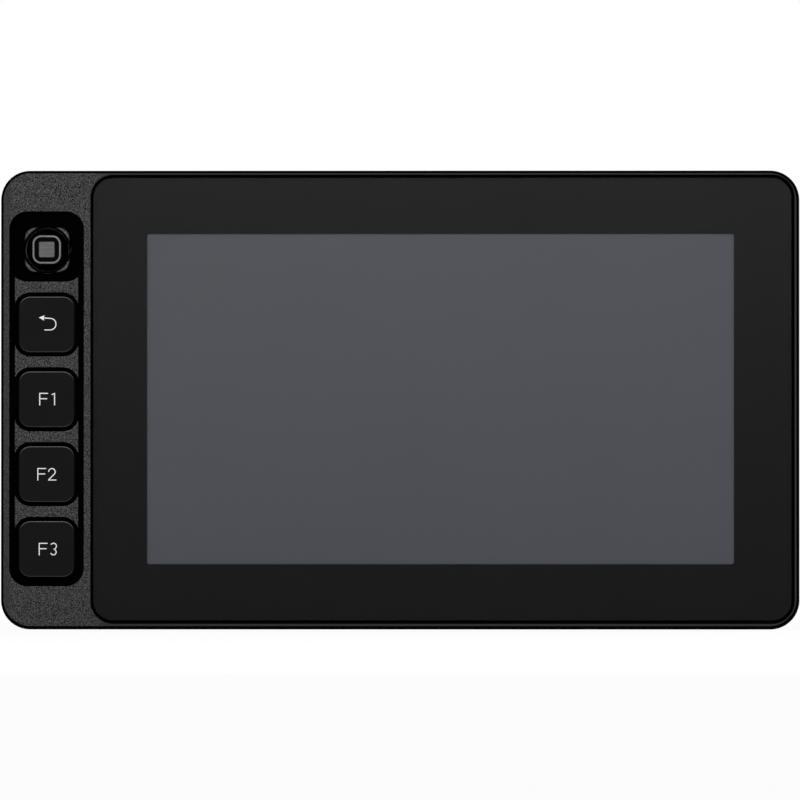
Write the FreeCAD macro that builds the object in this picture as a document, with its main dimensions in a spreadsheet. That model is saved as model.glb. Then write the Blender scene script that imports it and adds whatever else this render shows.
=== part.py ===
"""A five inch camera field monitor, built as an assembly of separate pieces.

X runs to the right of the screen, Y from the screen to the back, Z up. The origin is the middle
of the footprint, on the surface that the monitor stands on. Lengths are in millimetres.
"""

import FreeCAD
import Part
import Sketcher
import math
import os

SIZES = {
    # The whole monitor and its two housings
    "body_width": 150.5,
    "body_height": 86.5,
    "body_depth": 30.0,
    "body_corner": 5.5,
    "edge_round": 0.45,
    "bezel_depth": 10.4,
    "side_wall": 1.5,
    "face_thickness": 3.3,
    "rim_width": 0.99,
    "rim_top": 0.84,
    "rim_bottom": 1.23,
    "strip_width": 16.87,
    "plate_thickness": 2.0,
    "block_inset": 22.25,
    "block_corner": 4.0,
    "block_wall": 2.5,
    "block_round": 1.2,
    # Cover glass and what bonds it
    "glass_gap": 0.42,
    "glass_corner": 3.8,
    "glass_thickness": 1.1,
    "glass_sink": 0.15,
    "glass_edge": 0.08,
    "mask_thickness": 0.1,
    "mask_inset": 0.05,
    "tape_thickness": 0.2,
    "tape_inset": 0.8,
    "tape_margin": 0.6,
    "seal_sink": 0.5,
    # Display stack behind the glass
    "border_width": 10.55,
    "border_height": 10.645,
    "active_corner": 0.5,
    "active_shift": 0.335,
    "bond_gap": 0.15,
    "lcd_margin": 2.2,
    "lcd_thickness": 1.2,
    "guide_thickness": 2.1,
    "tray_wall": 0.4,
    "tray_clearance": 0.2,
    "tray_lip": 0.3,
    "led_bar_height": 1.8,
    "opening_clearance": 0.4,
    "opening_corner": 1.0,
    "frame_margin": 1.0,
    "frame_lug": 5.05,
    "frame_thickness": 1.2,
    "frame_corner": 2.0,
    "frame_screw_end": 11.15,
    "frame_screw_inset": 2.0,
    "frame_post_diameter": 4.0,
    # Key strip
    "slot_inset": 1.55,
    "slot_end": 8.0,
    "slot_margin": 0.96,
    "slot_corner": 3.4,
    "strip_rise": 0.15,
    "cell_rise": 0.2,
    "slot_depth": 2.1,
    "key_width": 10.5,
    "key_spacing": 3.68,
    "key_corner": 2.2,
    "key_edge": 0.2,
    "key_sink": 0.2,
    "key_gap": 0.84,
    "well_corner": 3.0,
    "divider_width": 11.9,
    "key_hole_clearance": 0.25,
    "key_flange": 0.9,
    "key_flange_thickness": 0.8,
    "key_flange_gap": 0.05,
    "key_stem_diameter": 3.0,
    "key_board_depth": 7.8,
    "key_board_width": 16.8,
    "key_board_trim": 0.7,
    "key_board_thickness": 1.2,
    "key_board_inset": 1.75,
    "key_board_post_diameter": 3.4,
    "key_board_post_margin": 1.9,
    "key_board_post_pitch": 17.6,
    "switch_size": 6.0,
    "switch_height": 2.0,
    "plunger_diameter": 2.4,
    "plunger_proud": 0.85,
    "plunger_inside": 1.0,
    "plunger_bore_depth": 1.7,
    "plunger_clearance": 0.1,
    # Joystick
    "joystick_pivot_depth": 5.5,
    "joystick_rise": 0.02,
    "joystick_bezel_thickness": 0.9,
    "joystick_bezel_overlap": 0.8,
    "joystick_bezel_hole": 9.0,
    "collar_size": 8.8,
    "collar_corner": 2.2,
    "collar_sink": 2.0,
    "collar_hole": 8.3,
    "collar_edge": 0.15,
    "dome_radius": 4.3,
    "dome_wall": 0.7,
    "dome_half_angle": 66.0,
    "cap_size": 5.5,
    "cap_corner": 1.7,
    "cap_sink": 0.3,
    "cap_base": 0.4,
    "cap_core": 0.4,
    "trim_width": 0.4,
    "trim_proud": 0.1,
    "insert_size": 3.1,
    "insert_corner": 0.4,
    "insert_depth": 0.3,
    "insert_proud": 0.1,
    "insert_edge": 0.12,
    "neck_diameter": 3.2,
    "stick_diameter": 1.5,
    "stick_tail": 1.25,
    "gimbal_outer": 6.4,
    "gimbal_inner": 4.2,
    "gimbal_thickness": 1.4,
    "gimbal_pin": 0.8,
    "gimbal_pin_clearance": 0.05,
    "hub_radius": 1.7,
    "hub_pin_reach": 2.8,
    "base_size": 9.4,
    "base_floor": 0.8,
    "base_hole": 3.6,
    "base_post_wall": 0.95,
    "base_post_width": 3.0,
    "base_post_over_pin": 0.15,
    "base_pin_bite": 0.6,
    "press_switch_diameter": 3.0,
    "press_switch_height": 0.6,
    # Rear cover
    "cover_inset": 1.5,
    "cover_gap": 0.1,
    "cover_corner": 2.6,
    "cover_thickness": 2.0,
    "grille_width": 34.0,
    "grille_slot": 2.0,
    "grille_pitch": 3.8,
    "grille_count": 9,
    "accessory_pitch_x": 50.0,
    "accessory_pitch_z": 20.0,
    "accessory_hole": 3.3,
    "accessory_boss": 8.0,
    "accessory_boss_height": 3.0,
    # Rear housing details
    "pillar_size": 7.0,
    "mount_boss_width": 30.0,
    "mount_boss_height": 7.0,
    "cover_screw_pitch": 22.0,
    "insert_outer": 8.6,
    "insert_bore": 5.2,
    "insert_length": 8.0,
    "slot_roundness": 0.45,
    "vent_width": 2.0,
    "vent_length": 7.0,
    "vent_pitch": 4.0,
    "vent_count": 6,
    "vent_start": 19.0,
    "corner_screw_inset": 4.2,
    "housing_boss_diameter": 5.6,
    # Screws
    "screw_diameter": 2.5,
    "screw_head_height": 1.2,
    "screw_rim": 0.15,
    "screw_hex": 1.5,
    "screw_hex_depth": 0.9,
    "housing_screw_length": 7.0,
    "cover_screw_length": 6.0,
    "small_screw_diameter": 2.0,
    "small_screw_head": 3.6,
    "small_screw_head_height": 1.2,
    "small_screw_length": 3.0,
    "small_screw_hex": 1.3,
    "small_screw_hex_depth": 0.7,
    "screw_clearance": 0.05,
    "screw_tip_gap": 0.5,
    "small_screw_round": 0.4,
    # Main board and cooling
    "board_side_gap": 4.5,
    "board_end_gap": 7.75,
    "board_thickness": 1.6,
    "board_depth": 13.9,
    "board_corner": 1.5,
    "board_screw_side": 12.0,
    "board_screw_end": 5.0,
    "standoff_diameter": 5.0,
    "processor_size": 17.0,
    "processor_height": 1.0,
    "heat_sink_size": 34.0,
    "heat_sink_base": 1.0,
    "heat_sink_fin": 4.3,
    "heat_sink_fin_wall": 1.0,
    "heat_sink_fin_pitch": 3.0,
    "heat_sink_fin_count": 12,
    "fan_size": 30.0,
    "fan_height": 6.0,
    "fan_corner": 2.0,
    "fan_bore": 28.0,
    "fan_base": 0.8,
    "fan_strut": 2.0,
    "fan_hub": 12.0,
    "fan_hub_gap": 0.4,
    "fan_hub_wall": 1.0,
    "fan_shaft": 1.5,
    "fan_shaft_clearance": 0.05,
    "fan_blade_reach": 13.3,
    "fan_blade_wall": 0.7,
    "fan_blade_lean": 2.2,
    "fan_blade_count": 7,
    "fan_rim_gap": 0.4,
    # Connectors in the left wall of the block
    "sdi_drop": 18.5,
    "sdi_pitch": 16.0,
    "sdi_depth": 21.0,
    "sdi_shoulder": 10.6,
    "sdi_shoulder_length": 4.0,
    "sdi_barrel": 9.6,
    "sdi_length": 11.0,
    "sdi_bore": 8.1,
    "sdi_bore_depth": 8.5,
    "sdi_lug_diameter": 2.0,
    "sdi_lug_span": 11.0,
    "sdi_lug_setback": 2.6,
    "sdi_nut": 12.6,
    "sdi_nut_length": 2.0,
    "sdi_insulator": 4.8,
    "sdi_insulator_length": 6.0,
    "sdi_contact": 2.2,
    "sdi_contact_bore": 1.0,
    "sdi_contact_length": 5.2,
    "sdi_contact_end": 1.2,
    "power_rise": 22.0,
    "power_depth": 21.0,
    "power_flange": 12.0,
    "power_flange_length": 1.6,
    "power_body": 9.0,
    "power_length": 9.0,
    "power_bore": 7.0,
    "power_bore_depth": 7.0,
    "power_pin": 1.3,
    "power_pin_pitch": 3.0,
    "power_pin_length": 4.5,
    # Connectors in the right wall of the block
    "video_drop": 20.5,
    "video_pitch": 17.5,
    "video_width": 15.2,
    "video_height": 5.6,
    "video_wall": 0.55,
    "video_length": 12.0,
    "video_back": 1.2,
    "video_bevel": 1.6,
    "video_tongue_width": 11.2,
    "video_tongue_height": 1.0,
    "video_tongue_setback": 1.2,
    "port_clearance": 0.2,
    "port_sink": 0.3,
    "phone_rise": 20.0,
    "phone_flange": 8.0,
    "phone_flange_length": 0.8,
    "phone_body": 6.0,
    "phone_length": 14.0,
    "phone_bore": 3.6,
    "phone_end": 1.0,
    # Power button in the top of the block
    "button_x": 25.0,
    "button_depth": 19.0,
    "button_diameter": 7.0,
    "button_clearance": 0.15,
    "button_sink": 0.2,
    "button_edge": 0.3,
    "button_flange": 8.8,
    "button_flange_thickness": 0.8,
    "button_flange_gap": 0.05,
    "button_switch_width": 6.0,
    "button_switch_depth": 6.5,
    "button_switch_drop": 10.5,
    "button_switch_height": 3.5,
    # Flat cables
    "display_cable_side": 16,
    "display_cable_rise": 3.2,
    "display_cable_width": 16.0,
    "cable_thickness": 0.3,
    "cable_slot_clearance": 0.5,
    "key_cable_rise": 8.25,
    "key_cable_width": 10.0,
    "key_cable_lap": 3.0,
    "key_cable_inset": 0.4,
}

PLANES = {"front": "XZ_Plane", "side": "YZ_Plane", "top": "XY_Plane"}
# The sense of each plane's normal along its own world axis: Y, X and Z.
NORMALS = {"front": -1, "side": 1, "top": 1}
KEY_NAMES = ("back", "f1", "f2", "f3")
# How near two lengths count as equal, and the least volume that a cut takes away
NEAR = 1e-4
LEAST_CUT = 1e-4

doc = FreeCAD.newDocument("field_monitor")
sheet = doc.addObject("Spreadsheet::Sheet", "Sizes")
pieces = []


class Size:
    """A length or angle: its value, and the expression that gives it from the sheet."""

    def __init__(self, value, text):
        self.value = float(value)
        self.text = text

    def join(self, sign, other, value):
        return Size(value, f"({self.text} {sign} {size_of(other).text})")

    def __add__(self, other):
        return self.join("+", other, self.value + size_of(other).value)

    def __sub__(self, other):
        return self.join("-", other, self.value - size_of(other).value)

    def __mul__(self, other):
        return self.join("*", other, self.value * size_of(other).value)

    def __truediv__(self, other):
        return self.join("/", other, self.value / size_of(other).value)

    def __radd__(self, other):
        return size_of(other) + self

    def __rsub__(self, other):
        return size_of(other) - self

    def __rmul__(self, other):
        return size_of(other) * self

    def __neg__(self):
        return Size(-self.value, f"(-1 * {self.text})")


def size_of(number):
    """A plain number as a Size, or a Size as it is."""
    if isinstance(number, Size):
        return number
    return Size(number, f"({float(number)!r})")


class Sheet:
    """The driving dimensions by name."""

    def __getattr__(self, name):
        return Size(sheet.get(name), f"Sizes.{name}")


def fill_sheet():
    for row, (name, value) in enumerate(SIZES.items(), 1):
        sheet.set(f"A{row}", name)
        sheet.set(f"B{row}", str(value))
        sheet.setAlias(f"B{row}", name)
    doc.recompute()


fill_sheet()
S = Sheet()
NOTHING = size_of(0)
# The middle of a sketch, as the only place where its shape is drawn
ORIGIN = ((NOTHING, NOTHING),)

# Depths along Y, from the screen to the back
front_y = -S.body_depth / 2
back_y = S.body_depth / 2
glass_y = front_y + S.glass_sink
glass_back_y = glass_y + S.glass_thickness
mask_back_y = glass_back_y + S.mask_thickness
seat_y = mask_back_y + S.tape_thickness
lcd_y = mask_back_y + S.bond_gap
lcd_back_y = lcd_y + S.lcd_thickness
guide_back_y = lcd_back_y + S.guide_thickness
frame_y = guide_back_y + S.tray_wall
frame_back_y = frame_y + S.frame_thickness
slot_floor_y = front_y + S.slot_depth
floor_back_y = front_y + S.face_thickness
key_board_y = front_y + S.key_board_depth
key_board_back_y = key_board_y + S.key_board_thickness
bezel_back_y = front_y + S.bezel_depth
plate_back_y = bezel_back_y + S.plate_thickness
board_y = front_y + S.board_depth
board_back_y = board_y + S.board_thickness
cover_y = back_y - S.cover_thickness
pivot_y = front_y + S.joystick_pivot_depth

# Widths and heights that several pieces share
left_x = -S.body_width / 2
right_x = S.body_width / 2
middle_z = S.body_height / 2
recess_left_x = left_x + S.strip_width
recess_width = S.body_width - S.strip_width - S.rim_width
recess_height = S.body_height - S.rim_top - S.rim_bottom
glass_x = recess_left_x + recess_width / 2
glass_z = S.rim_bottom + recess_height / 2
glass_width = recess_width - 2 * S.glass_gap
glass_height = recess_height - 2 * S.glass_gap
active_x = glass_x - S.active_shift
active_width = glass_width - 2 * S.border_width
active_height = glass_height - 2 * S.border_height
lcd_width = active_width + 2 * S.lcd_margin
lcd_height = active_height + 2 * S.lcd_margin
tray_width = lcd_width + 2 * (S.tray_clearance + S.tray_wall)
tray_height = lcd_height + 2 * (S.tray_clearance + S.tray_wall)
opening_width = tray_width + 2 * S.opening_clearance
opening_height = tray_height + 2 * S.opening_clearance
frame_width = tray_width + 2 * S.frame_margin
frame_height = tray_height + 2 * S.frame_lug
slot_height = S.body_height - 2 * S.slot_end
cell_count = len(KEY_NAMES) + 1
key_pitch = (slot_height + S.key_spacing - 2 * (S.key_gap + S.slot_margin)) / cell_count
key_height = key_pitch - S.key_spacing
well_width = S.key_width + 2 * S.key_gap
well_height = key_height + 2 * S.key_gap
slot_width = well_width + 2 * S.slot_margin
strip_x = left_x + S.slot_inset + slot_width / 2
strip_z = middle_z + S.strip_rise
cell_middle_z = strip_z + 2 * key_pitch
joystick_z = cell_middle_z + S.joystick_rise
key_z = {name: strip_z + (1 - index) * key_pitch for index, name in enumerate(KEY_NAMES)}
block_width = S.body_width - 2 * S.block_inset
block_left_x = -block_width / 2
block_right_x = block_width / 2
inner_width = block_width - 2 * S.block_wall
inner_height = S.body_height - 2 * S.block_wall
board_width = inner_width - 2 * S.board_side_gap
board_height = inner_height - 2 * S.board_end_gap
board_screw_x = board_width / 2 - S.board_screw_side
sdi_in_z = S.body_height - S.sdi_drop
sdi_out_z = sdi_in_z - S.sdi_pitch
video_in_z = S.body_height - S.video_drop
video_out_z = video_in_z - S.video_pitch
button_switch_z = S.body_height - S.button_switch_drop
display_cable_x = board_screw_x - S.display_cable_side
display_cable_z = glass_z - tray_height / 2 + S.display_cable_rise
key_cable_z = middle_z + S.key_cable_rise
mount_y = (plate_back_y + cover_y) / 2
screw_hole = S.screw_diameter + 2 * S.screw_clearance
small_screw_hole = S.small_screw_diameter + 2 * S.screw_clearance


def bind(target, path, size):
    """Ties a property to the sheet."""
    target.setExpression(path, size_of(size).text)


def new_body(label):
    body = doc.addObject("PartDesign::Body", label)
    body.Label = label
    return body


def keep(piece):
    """Marks a finished piece as a sub-part that is written out."""
    pieces.append(piece)
    return piece


def sketch_on(body, plane, at):
    """An empty sketch of a body, parallel to one of its origin planes, with its centre at a point."""
    x, y, z = at
    local = {"front": (x, z, -size_of(y)), "side": (y, z, x), "top": (x, y, z)}[plane]
    role = PLANES[plane]
    support = next(item for item in body.Origin.OriginFeatures if item.Role == role)
    sketch = body.newObject("Sketcher::SketchObject", f"{body.Label}_sketch")
    sketch.AttachmentSupport = [(support, "")]
    sketch.MapMode = "FlatFace"
    for letter, offset in zip("xyz", local):
        bind(sketch, f"AttachmentOffset.Base.{letter}", offset)
    return sketch


def measure(sketch, kind, *where):
    """Adds a dimension whose last item is its size."""
    *places, size = where
    number = sketch.addConstraint(Sketcher.Constraint(kind, *places, size_of(size).value))
    bind(sketch, f"Constraints[{number}]", size)


def outline(sketch, points):
    """A closed run of straight lines through points, measured from the sketch's origin."""
    spots = [FreeCAD.Vector(size_of(u).value, size_of(v).value, 0) for u, v in points]
    count = len(spots)
    first = len(sketch.Geometry)
    lines = [Part.LineSegment(spots[k], spots[(k + 1) % count]) for k in range(count)]
    sketch.addGeometry(lines, False)
    for k in range(count):
        after = first + (k + 1) % count
        sketch.addConstraint(Sketcher.Constraint("Coincident", first + k, 2, after, 1))
    for k, (u, v) in enumerate(points):
        measure(sketch, "DistanceX", -1, 1, first + k, 1, u)
        measure(sketch, "DistanceY", -1, 1, first + k, 1, v)


def rectangle(sketch, centre, width, height):
    u, v = centre
    half_width = size_of(width) / 2
    half_height = size_of(height) / 2
    signs = [(-1, -1), (1, -1), (1, 1), (-1, 1)]
    outline(sketch, [(u + a * half_width, v + b * half_height) for a, b in signs])


def circle(sketch, centre, diameter):
    u, v = (size_of(part) for part in centre)
    middle = FreeCAD.Vector(u.value, v.value, 0)
    ring = Part.Circle(middle, FreeCAD.Vector(0, 0, 1), size_of(diameter).value / 2)
    number = sketch.addGeometry(ring, False)
    measure(sketch, "DistanceX", -1, 1, number, 3, u)
    measure(sketch, "DistanceY", -1, 1, number, 3, v)
    measure(sketch, "Diameter", number, diameter)


def hexagon(sketch, across):
    reach = size_of(across) / math.sqrt(3)
    turns = [math.radians(60 * k) for k in range(6)]
    outline(sketch, [(reach * math.cos(turn), reach * math.sin(turn)) for turn in turns])


def rounded_rectangle(sketch, centre, width, height, radius):
    """A rectangle with round corners."""
    left = centre[0] - size_of(width) / 2
    low = centre[1] - size_of(height) / 2
    x0 = left.value
    y0 = low.value
    x1 = x0 + size_of(width).value
    y1 = y0 + size_of(height).value
    r = size_of(radius).value
    vector = FreeCAD.Vector
    first = len(sketch.Geometry)
    lines = [
        Part.LineSegment(vector(x0 + r, y0, 0), vector(x1 - r, y0, 0)),
        Part.LineSegment(vector(x1, y0 + r, 0), vector(x1, y1 - r, 0)),
        Part.LineSegment(vector(x1 - r, y1, 0), vector(x0 + r, y1, 0)),
        Part.LineSegment(vector(x0, y1 - r, 0), vector(x0, y0 + r, 0)),
    ]
    centres = [(x1 - r, y0 + r), (x1 - r, y1 - r), (x0 + r, y1 - r), (x0 + r, y0 + r)]
    arcs = []
    for k, (u, v) in enumerate(centres):
        start = (k - 1) * math.pi / 2
        whole = Part.Circle(vector(u, v, 0), vector(0, 0, 1), r)
        arcs.append(Part.ArcOfCircle(whole, start, start + math.pi / 2))
    sketch.addGeometry(lines + arcs, False)
    line = [first + k for k in range(4)]
    arc = [first + 4 + k for k in range(4)]
    rule = Sketcher.Constraint
    rules = [rule("Horizontal", line[0]), rule("Vertical", line[1])]
    rules += [rule("Horizontal", line[2]), rule("Vertical", line[3])]
    for k in range(4):
        rules.append(rule("Tangent", line[k], 2, arc[k], 1))
        rules.append(rule("Tangent", arc[k], 2, line[(k + 1) % 4], 1))
    rules += [rule("Equal", arc[0], arc[k]) for k in (1, 2, 3)]
    sketch.addConstraint(rules)
    measure(sketch, "DistanceX", -1, 1, line[3], 1, left)
    measure(sketch, "DistanceY", -1, 1, line[0], 1, low)
    measure(sketch, "DistanceX", line[3], 1, line[1], 1, width)
    measure(sketch, "DistanceY", line[0], 1, line[2], 1, height)
    measure(sketch, "Radius", arc[0], radius)


def pad(body, sketch, plane, length, towards):
    """Adds a prism on a sketch, towards the plus or minus end of the plane's axis."""
    feature = body.newObject("PartDesign::Pad", f"{body.Label}_pad")
    feature.Profile = sketch
    bind(feature, "Length", length)
    feature.Reversed = NORMALS[plane] != towards
    feature.Refine = False
    return feature


def cut(body, sketch, plane, length, towards):
    """Takes a prism away, towards the plus or minus end of the plane's axis."""
    feature = body.newObject("PartDesign::Pocket", f"{body.Label}_pocket")
    feature.Profile = sketch
    bind(feature, "Length", length)
    feature.Reversed = NORMALS[plane] == towards
    feature.Refine = False
    return feature


def draw_rounded(body, plane, at, width, height, radius, centres):
    sketch = sketch_on(body, plane, at)
    for centre in centres:
        rounded_rectangle(sketch, centre, width, height, radius)
    return sketch


def add_rounded(body, plane, at, width, height, radius, length, towards, centres=ORIGIN):
    sketch = draw_rounded(body, plane, at, width, height, radius, centres)
    return pad(body, sketch, plane, length, towards)


def cut_rounded(body, plane, at, width, height, radius, length, towards, centres=ORIGIN):
    sketch = draw_rounded(body, plane, at, width, height, radius, centres)
    return cut(body, sketch, plane, length, towards)


def draw_square(body, plane, at, width, height, centres):
    sketch = sketch_on(body, plane, at)
    for centre in centres:
        rectangle(sketch, centre, width, height)
    return sketch


def add_square(body, plane, at, width, height, length, towards, centres=ORIGIN):
    return pad(body, draw_square(body, plane, at, width, height, centres), plane, length, towards)


def cut_square(body, plane, at, width, height, length, towards, centres=ORIGIN):
    return cut(body, draw_square(body, plane, at, width, height, centres), plane, length, towards)


def draw_round(body, plane, at, diameter, centres):
    sketch = sketch_on(body, plane, at)
    for centre in centres:
        circle(sketch, centre, diameter)
    return sketch


def add_round(body, plane, at, diameter, length, towards, centres=ORIGIN):
    return pad(body, draw_round(body, plane, at, diameter, centres), plane, length, towards)


def cut_round(body, plane, at, diameter, length, towards, centres=ORIGIN):
    return cut(body, draw_round(body, plane, at, diameter, centres), plane, length, towards)


def turn(body, plane, at, axis, points):
    """A solid of revolution about the sketch's H_Axis or V_Axis."""
    sketch = sketch_on(body, plane, at)
    outline(sketch, points)
    feature = body.newObject("PartDesign::Revolution", f"{body.Label}_turned")
    feature.Profile = sketch
    feature.ReferenceAxis = (sketch, [axis])
    feature.Angle = 360
    return feature


def edges_on(body, axis, size, wanted=None):
    """Names of the edges that lie in the plane where a coordinate has a value."""
    doc.recompute()
    value = size_of(size).value
    names = []
    for number, edge in enumerate(body.Shape.Edges, 1):
        low = getattr(edge.BoundBox, f"{axis}Min")
        high = getattr(edge.BoundBox, f"{axis}Max")
        flat = abs(low - value) < NEAR and abs(high - value) < NEAR
        if flat and (wanted is None or wanted(edge)):
            names.append(f"Edge{number}")
    return names


def dress(body, kind, edges, path, size):
    """A fillet or chamfer on named edges of a body's latest feature."""
    if not edges:
        raise RuntimeError(f"no edges to dress on {body.Label}")
    latest = body.Tip
    feature = body.newObject(f"PartDesign::{kind}", f"{body.Label}_{kind.lower()}")
    feature.Base = (latest, edges)
    bind(feature, path, size)
    return feature


def round_edges(body, edges, radius):
    return dress(body, "Fillet", edges, "Radius", radius)


def bevel_edges(body, edges, size):
    return dress(body, "Chamfer", edges, "Size", size)


def is_round(diameter):
    """A test for whole circles of a diameter."""
    radius = size_of(diameter).value / 2

    def test(edge):
        whole = edge.Closed and isinstance(edge.Curve, Part.Circle)
        return whole and abs(edge.Curve.Radius - radius) < NEAR

    return test


def place(item, at):
    for letter, offset in zip("xyz", at):
        bind(item, f"Placement.Base.{letter}", offset)


def box(label, at, length, width, height):
    """A plain block from its lowest corner, along X, Y and Z."""
    item = doc.addObject("Part::Box", label)
    item.Label = label
    bind(item, "Length", length)
    bind(item, "Width", width)
    bind(item, "Height", height)
    place(item, at)
    return item


def group(label, master, spots, rotation=None):
    """One node of equal loose solids: a master piece set down at each spot."""
    links = []
    for spot in spots:
        link = doc.addObject("App::Link", f"{label}_link")
        link.LinkedObject = master
        if rotation is not None:
            link.Placement = FreeCAD.Placement(FreeCAD.Vector(), rotation)
        place(link, spot)
        links.append(link)
    whole = doc.addObject("Part::Compound", label)
    whole.Label = label
    whole.Links = links
    return keep(whole)


def repeat(body, feature, kind, reference, path, extent, count):
    """A linear or polar pattern of a body's latest feature."""
    pattern = body.newObject(f"PartDesign::{kind}", f"{body.Label}_pattern")
    pattern.Originals = [feature]
    pattern.Refine = False
    setattr(pattern, path, reference)
    body.Tip = pattern
    if kind == "LinearPattern":
        bind(pattern, "Length", extent)
    else:
        bind(pattern, "Angle", extent)
    bind(pattern, "Occurrences", count)
    return pattern


def corners(reach_x, low_z, high_z):
    """Four places, left and right at two heights."""
    return [(-reach_x, low_z), (reach_x, low_z), (-reach_x, high_z), (reach_x, high_z)]


key_hole = (S.key_width + 2 * S.key_hole_clearance, key_height + 2 * S.key_hole_clearance)
cell_height = well_height + S.slot_margin + S.cell_rise
cell_z = cell_middle_z + (S.slot_margin + S.cell_rise) / 2
housing_screw_spots = corners(
    S.body_width / 2 - S.corner_screw_inset, S.corner_screw_inset, S.body_height - S.corner_screw_inset
)
frame_screw_pitch = frame_width / 2 - S.frame_screw_end
frame_screw_rise = frame_height / 2 - S.frame_screw_inset
frame_screw_spots = [
    (active_x + along * frame_screw_pitch, glass_z + side * frame_screw_rise)
    for along in (-1, 0, 1)
    for side in (-1, 1)
]
key_board_x = left_x + S.key_board_inset + S.key_board_width / 2
key_post_x = left_x + S.key_board_inset + S.key_board_width - S.key_board_post_margin
key_post_spots = [(key_post_x, middle_z + step * S.key_board_post_pitch) for step in (-1, 0, 1)]
small_hole_depth = S.small_screw_length - S.frame_thickness + S.screw_tip_gap
screw_head = S.screw_diameter + 2 * (S.screw_head_height - S.screw_rim)


def cut_key_row(body, y, width, height, corner, depth):
    """One rounded cut for each key, from the lowest upwards."""
    sketch = sketch_on(body, "front", (strip_x, y, key_z[KEY_NAMES[-1]]))
    rounded_rectangle(sketch, ORIGIN[0], width, height, corner)
    hole = cut(body, sketch, "front", depth, 1)
    extent = (len(KEY_NAMES) - 1) * key_pitch
    repeat(body, hole, "LinearPattern", (sketch, ["V_Axis"]), "Direction", extent, len(KEY_NAMES))


def make_front_housing():
    body = new_body("front_housing")
    at = (NOTHING, front_y, middle_z)
    add_rounded(body, "front", at, S.body_width, S.body_height, S.body_corner, S.bezel_depth, 1)
    round_edges(body, edges_on(body, "Y", front_y), S.edge_round)
    recess_corner = S.glass_corner + S.glass_gap
    at = (glass_x, front_y, glass_z)
    cut_rounded(body, "front", at, recess_width, recess_height, recess_corner, seat_y - front_y, 1)
    # The hollow behind, and the opening that the display stack stands in
    walls = 2 * S.side_wall
    hollow = (S.body_width - walls, S.body_height - walls, S.body_corner - S.side_wall)
    at = (NOTHING, bezel_back_y, middle_z)
    cut_rounded(body, "front", at, *hollow, bezel_back_y - floor_back_y, -1)
    opening = (opening_width, opening_height, S.opening_corner)
    at = (active_x, floor_back_y, glass_z)
    cut_rounded(body, "front", at, *opening, floor_back_y - seat_y, -1)
    # The control slot, with a bar along it that the key wells cut into dividers
    at = (strip_x, front_y, strip_z)
    cut_rounded(body, "front", at, slot_width, slot_height, S.slot_corner, S.slot_depth, 1)
    at = (strip_x, slot_floor_y, strip_z)
    add_square(body, "front", at, S.divider_width, len(KEY_NAMES) * key_pitch, S.slot_depth, -1)
    hole_corner = S.key_corner + S.key_hole_clearance
    cut_key_row(body, front_y, well_width, well_height, S.well_corner, S.slot_depth)
    cut_key_row(body, slot_floor_y, *key_hole, hole_corner, floor_back_y - slot_floor_y)
    at = (strip_x, front_y, cell_z)
    cut_rounded(body, "front", at, slot_width, cell_height, S.slot_corner, S.face_thickness, 1)
    # Bosses for the rear housing's screws, posts for the display frame and for the key board
    boss_length = bezel_back_y - floor_back_y
    bore_length = S.housing_screw_length - S.plate_thickness + S.screw_tip_gap
    floor = (NOTHING, floor_back_y, NOTHING)
    add_round(body, "front", floor, S.housing_boss_diameter, boss_length, 1, housing_screw_spots)
    add_round(body, "front", floor, S.frame_post_diameter, frame_y - floor_back_y, 1, frame_screw_spots)
    post_length = key_board_y - floor_back_y
    add_round(body, "front", floor, S.key_board_post_diameter, post_length, 1, key_post_spots)
    at = (NOTHING, bezel_back_y, NOTHING)
    cut_round(body, "front", at, screw_hole, bore_length, -1, housing_screw_spots)
    at = (NOTHING, frame_y, NOTHING)
    cut_round(body, "front", at, small_screw_hole, small_hole_depth, -1, frame_screw_spots)
    at = (NOTHING, key_board_y, NOTHING)
    cut_round(body, "front", at, small_screw_hole, small_hole_depth, -1, key_post_spots)
    return keep(body)


def make_ring(label, at, outer, hole_at, hole, length):
    """A flat frame: a rounded plate with a rounded window, each given as width, height, corner."""
    body = new_body(label)
    add_rounded(body, "front", at, *outer, length, 1)
    cut_rounded(body, "front", hole_at, *hole, length, 1)
    return keep(body)


def make_glass():
    body = new_body("cover_glass")
    at = (glass_x, glass_y, glass_z)
    add_rounded(body, "front", at, glass_width, glass_height, S.glass_corner, S.glass_thickness, 1)
    round_edges(body, edges_on(body, "Y", glass_y), S.glass_edge)
    keep(body)
    inset = 2 * S.mask_inset
    outer = (glass_width - inset, glass_height - inset, S.glass_corner - S.mask_inset)
    window = (active_width, active_height, S.active_corner)
    at = (glass_x, glass_back_y, glass_z)
    hole_at = (active_x, glass_back_y, glass_z)
    make_ring("border_mask", at, outer, hole_at, window, S.mask_thickness)
    inset = 2 * S.tape_inset
    outer = (glass_width - inset, glass_height - inset, S.glass_corner - S.tape_inset)
    margin = 2 * S.tape_margin
    window = (opening_width + margin, opening_height + margin, S.opening_corner)
    at = (glass_x, mask_back_y, glass_z)
    hole_at = (active_x, mask_back_y, glass_z)
    make_ring("glass_tape", at, outer, hole_at, window, S.tape_thickness)
    outer = (recess_width, recess_height, S.glass_corner + S.glass_gap)
    window = (glass_width, glass_height, S.glass_corner)
    at = (glass_x, glass_y + S.seal_sink, glass_z)
    make_ring("glass_seal", at, outer, at, window, seat_y - glass_y - S.seal_sink)


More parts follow.
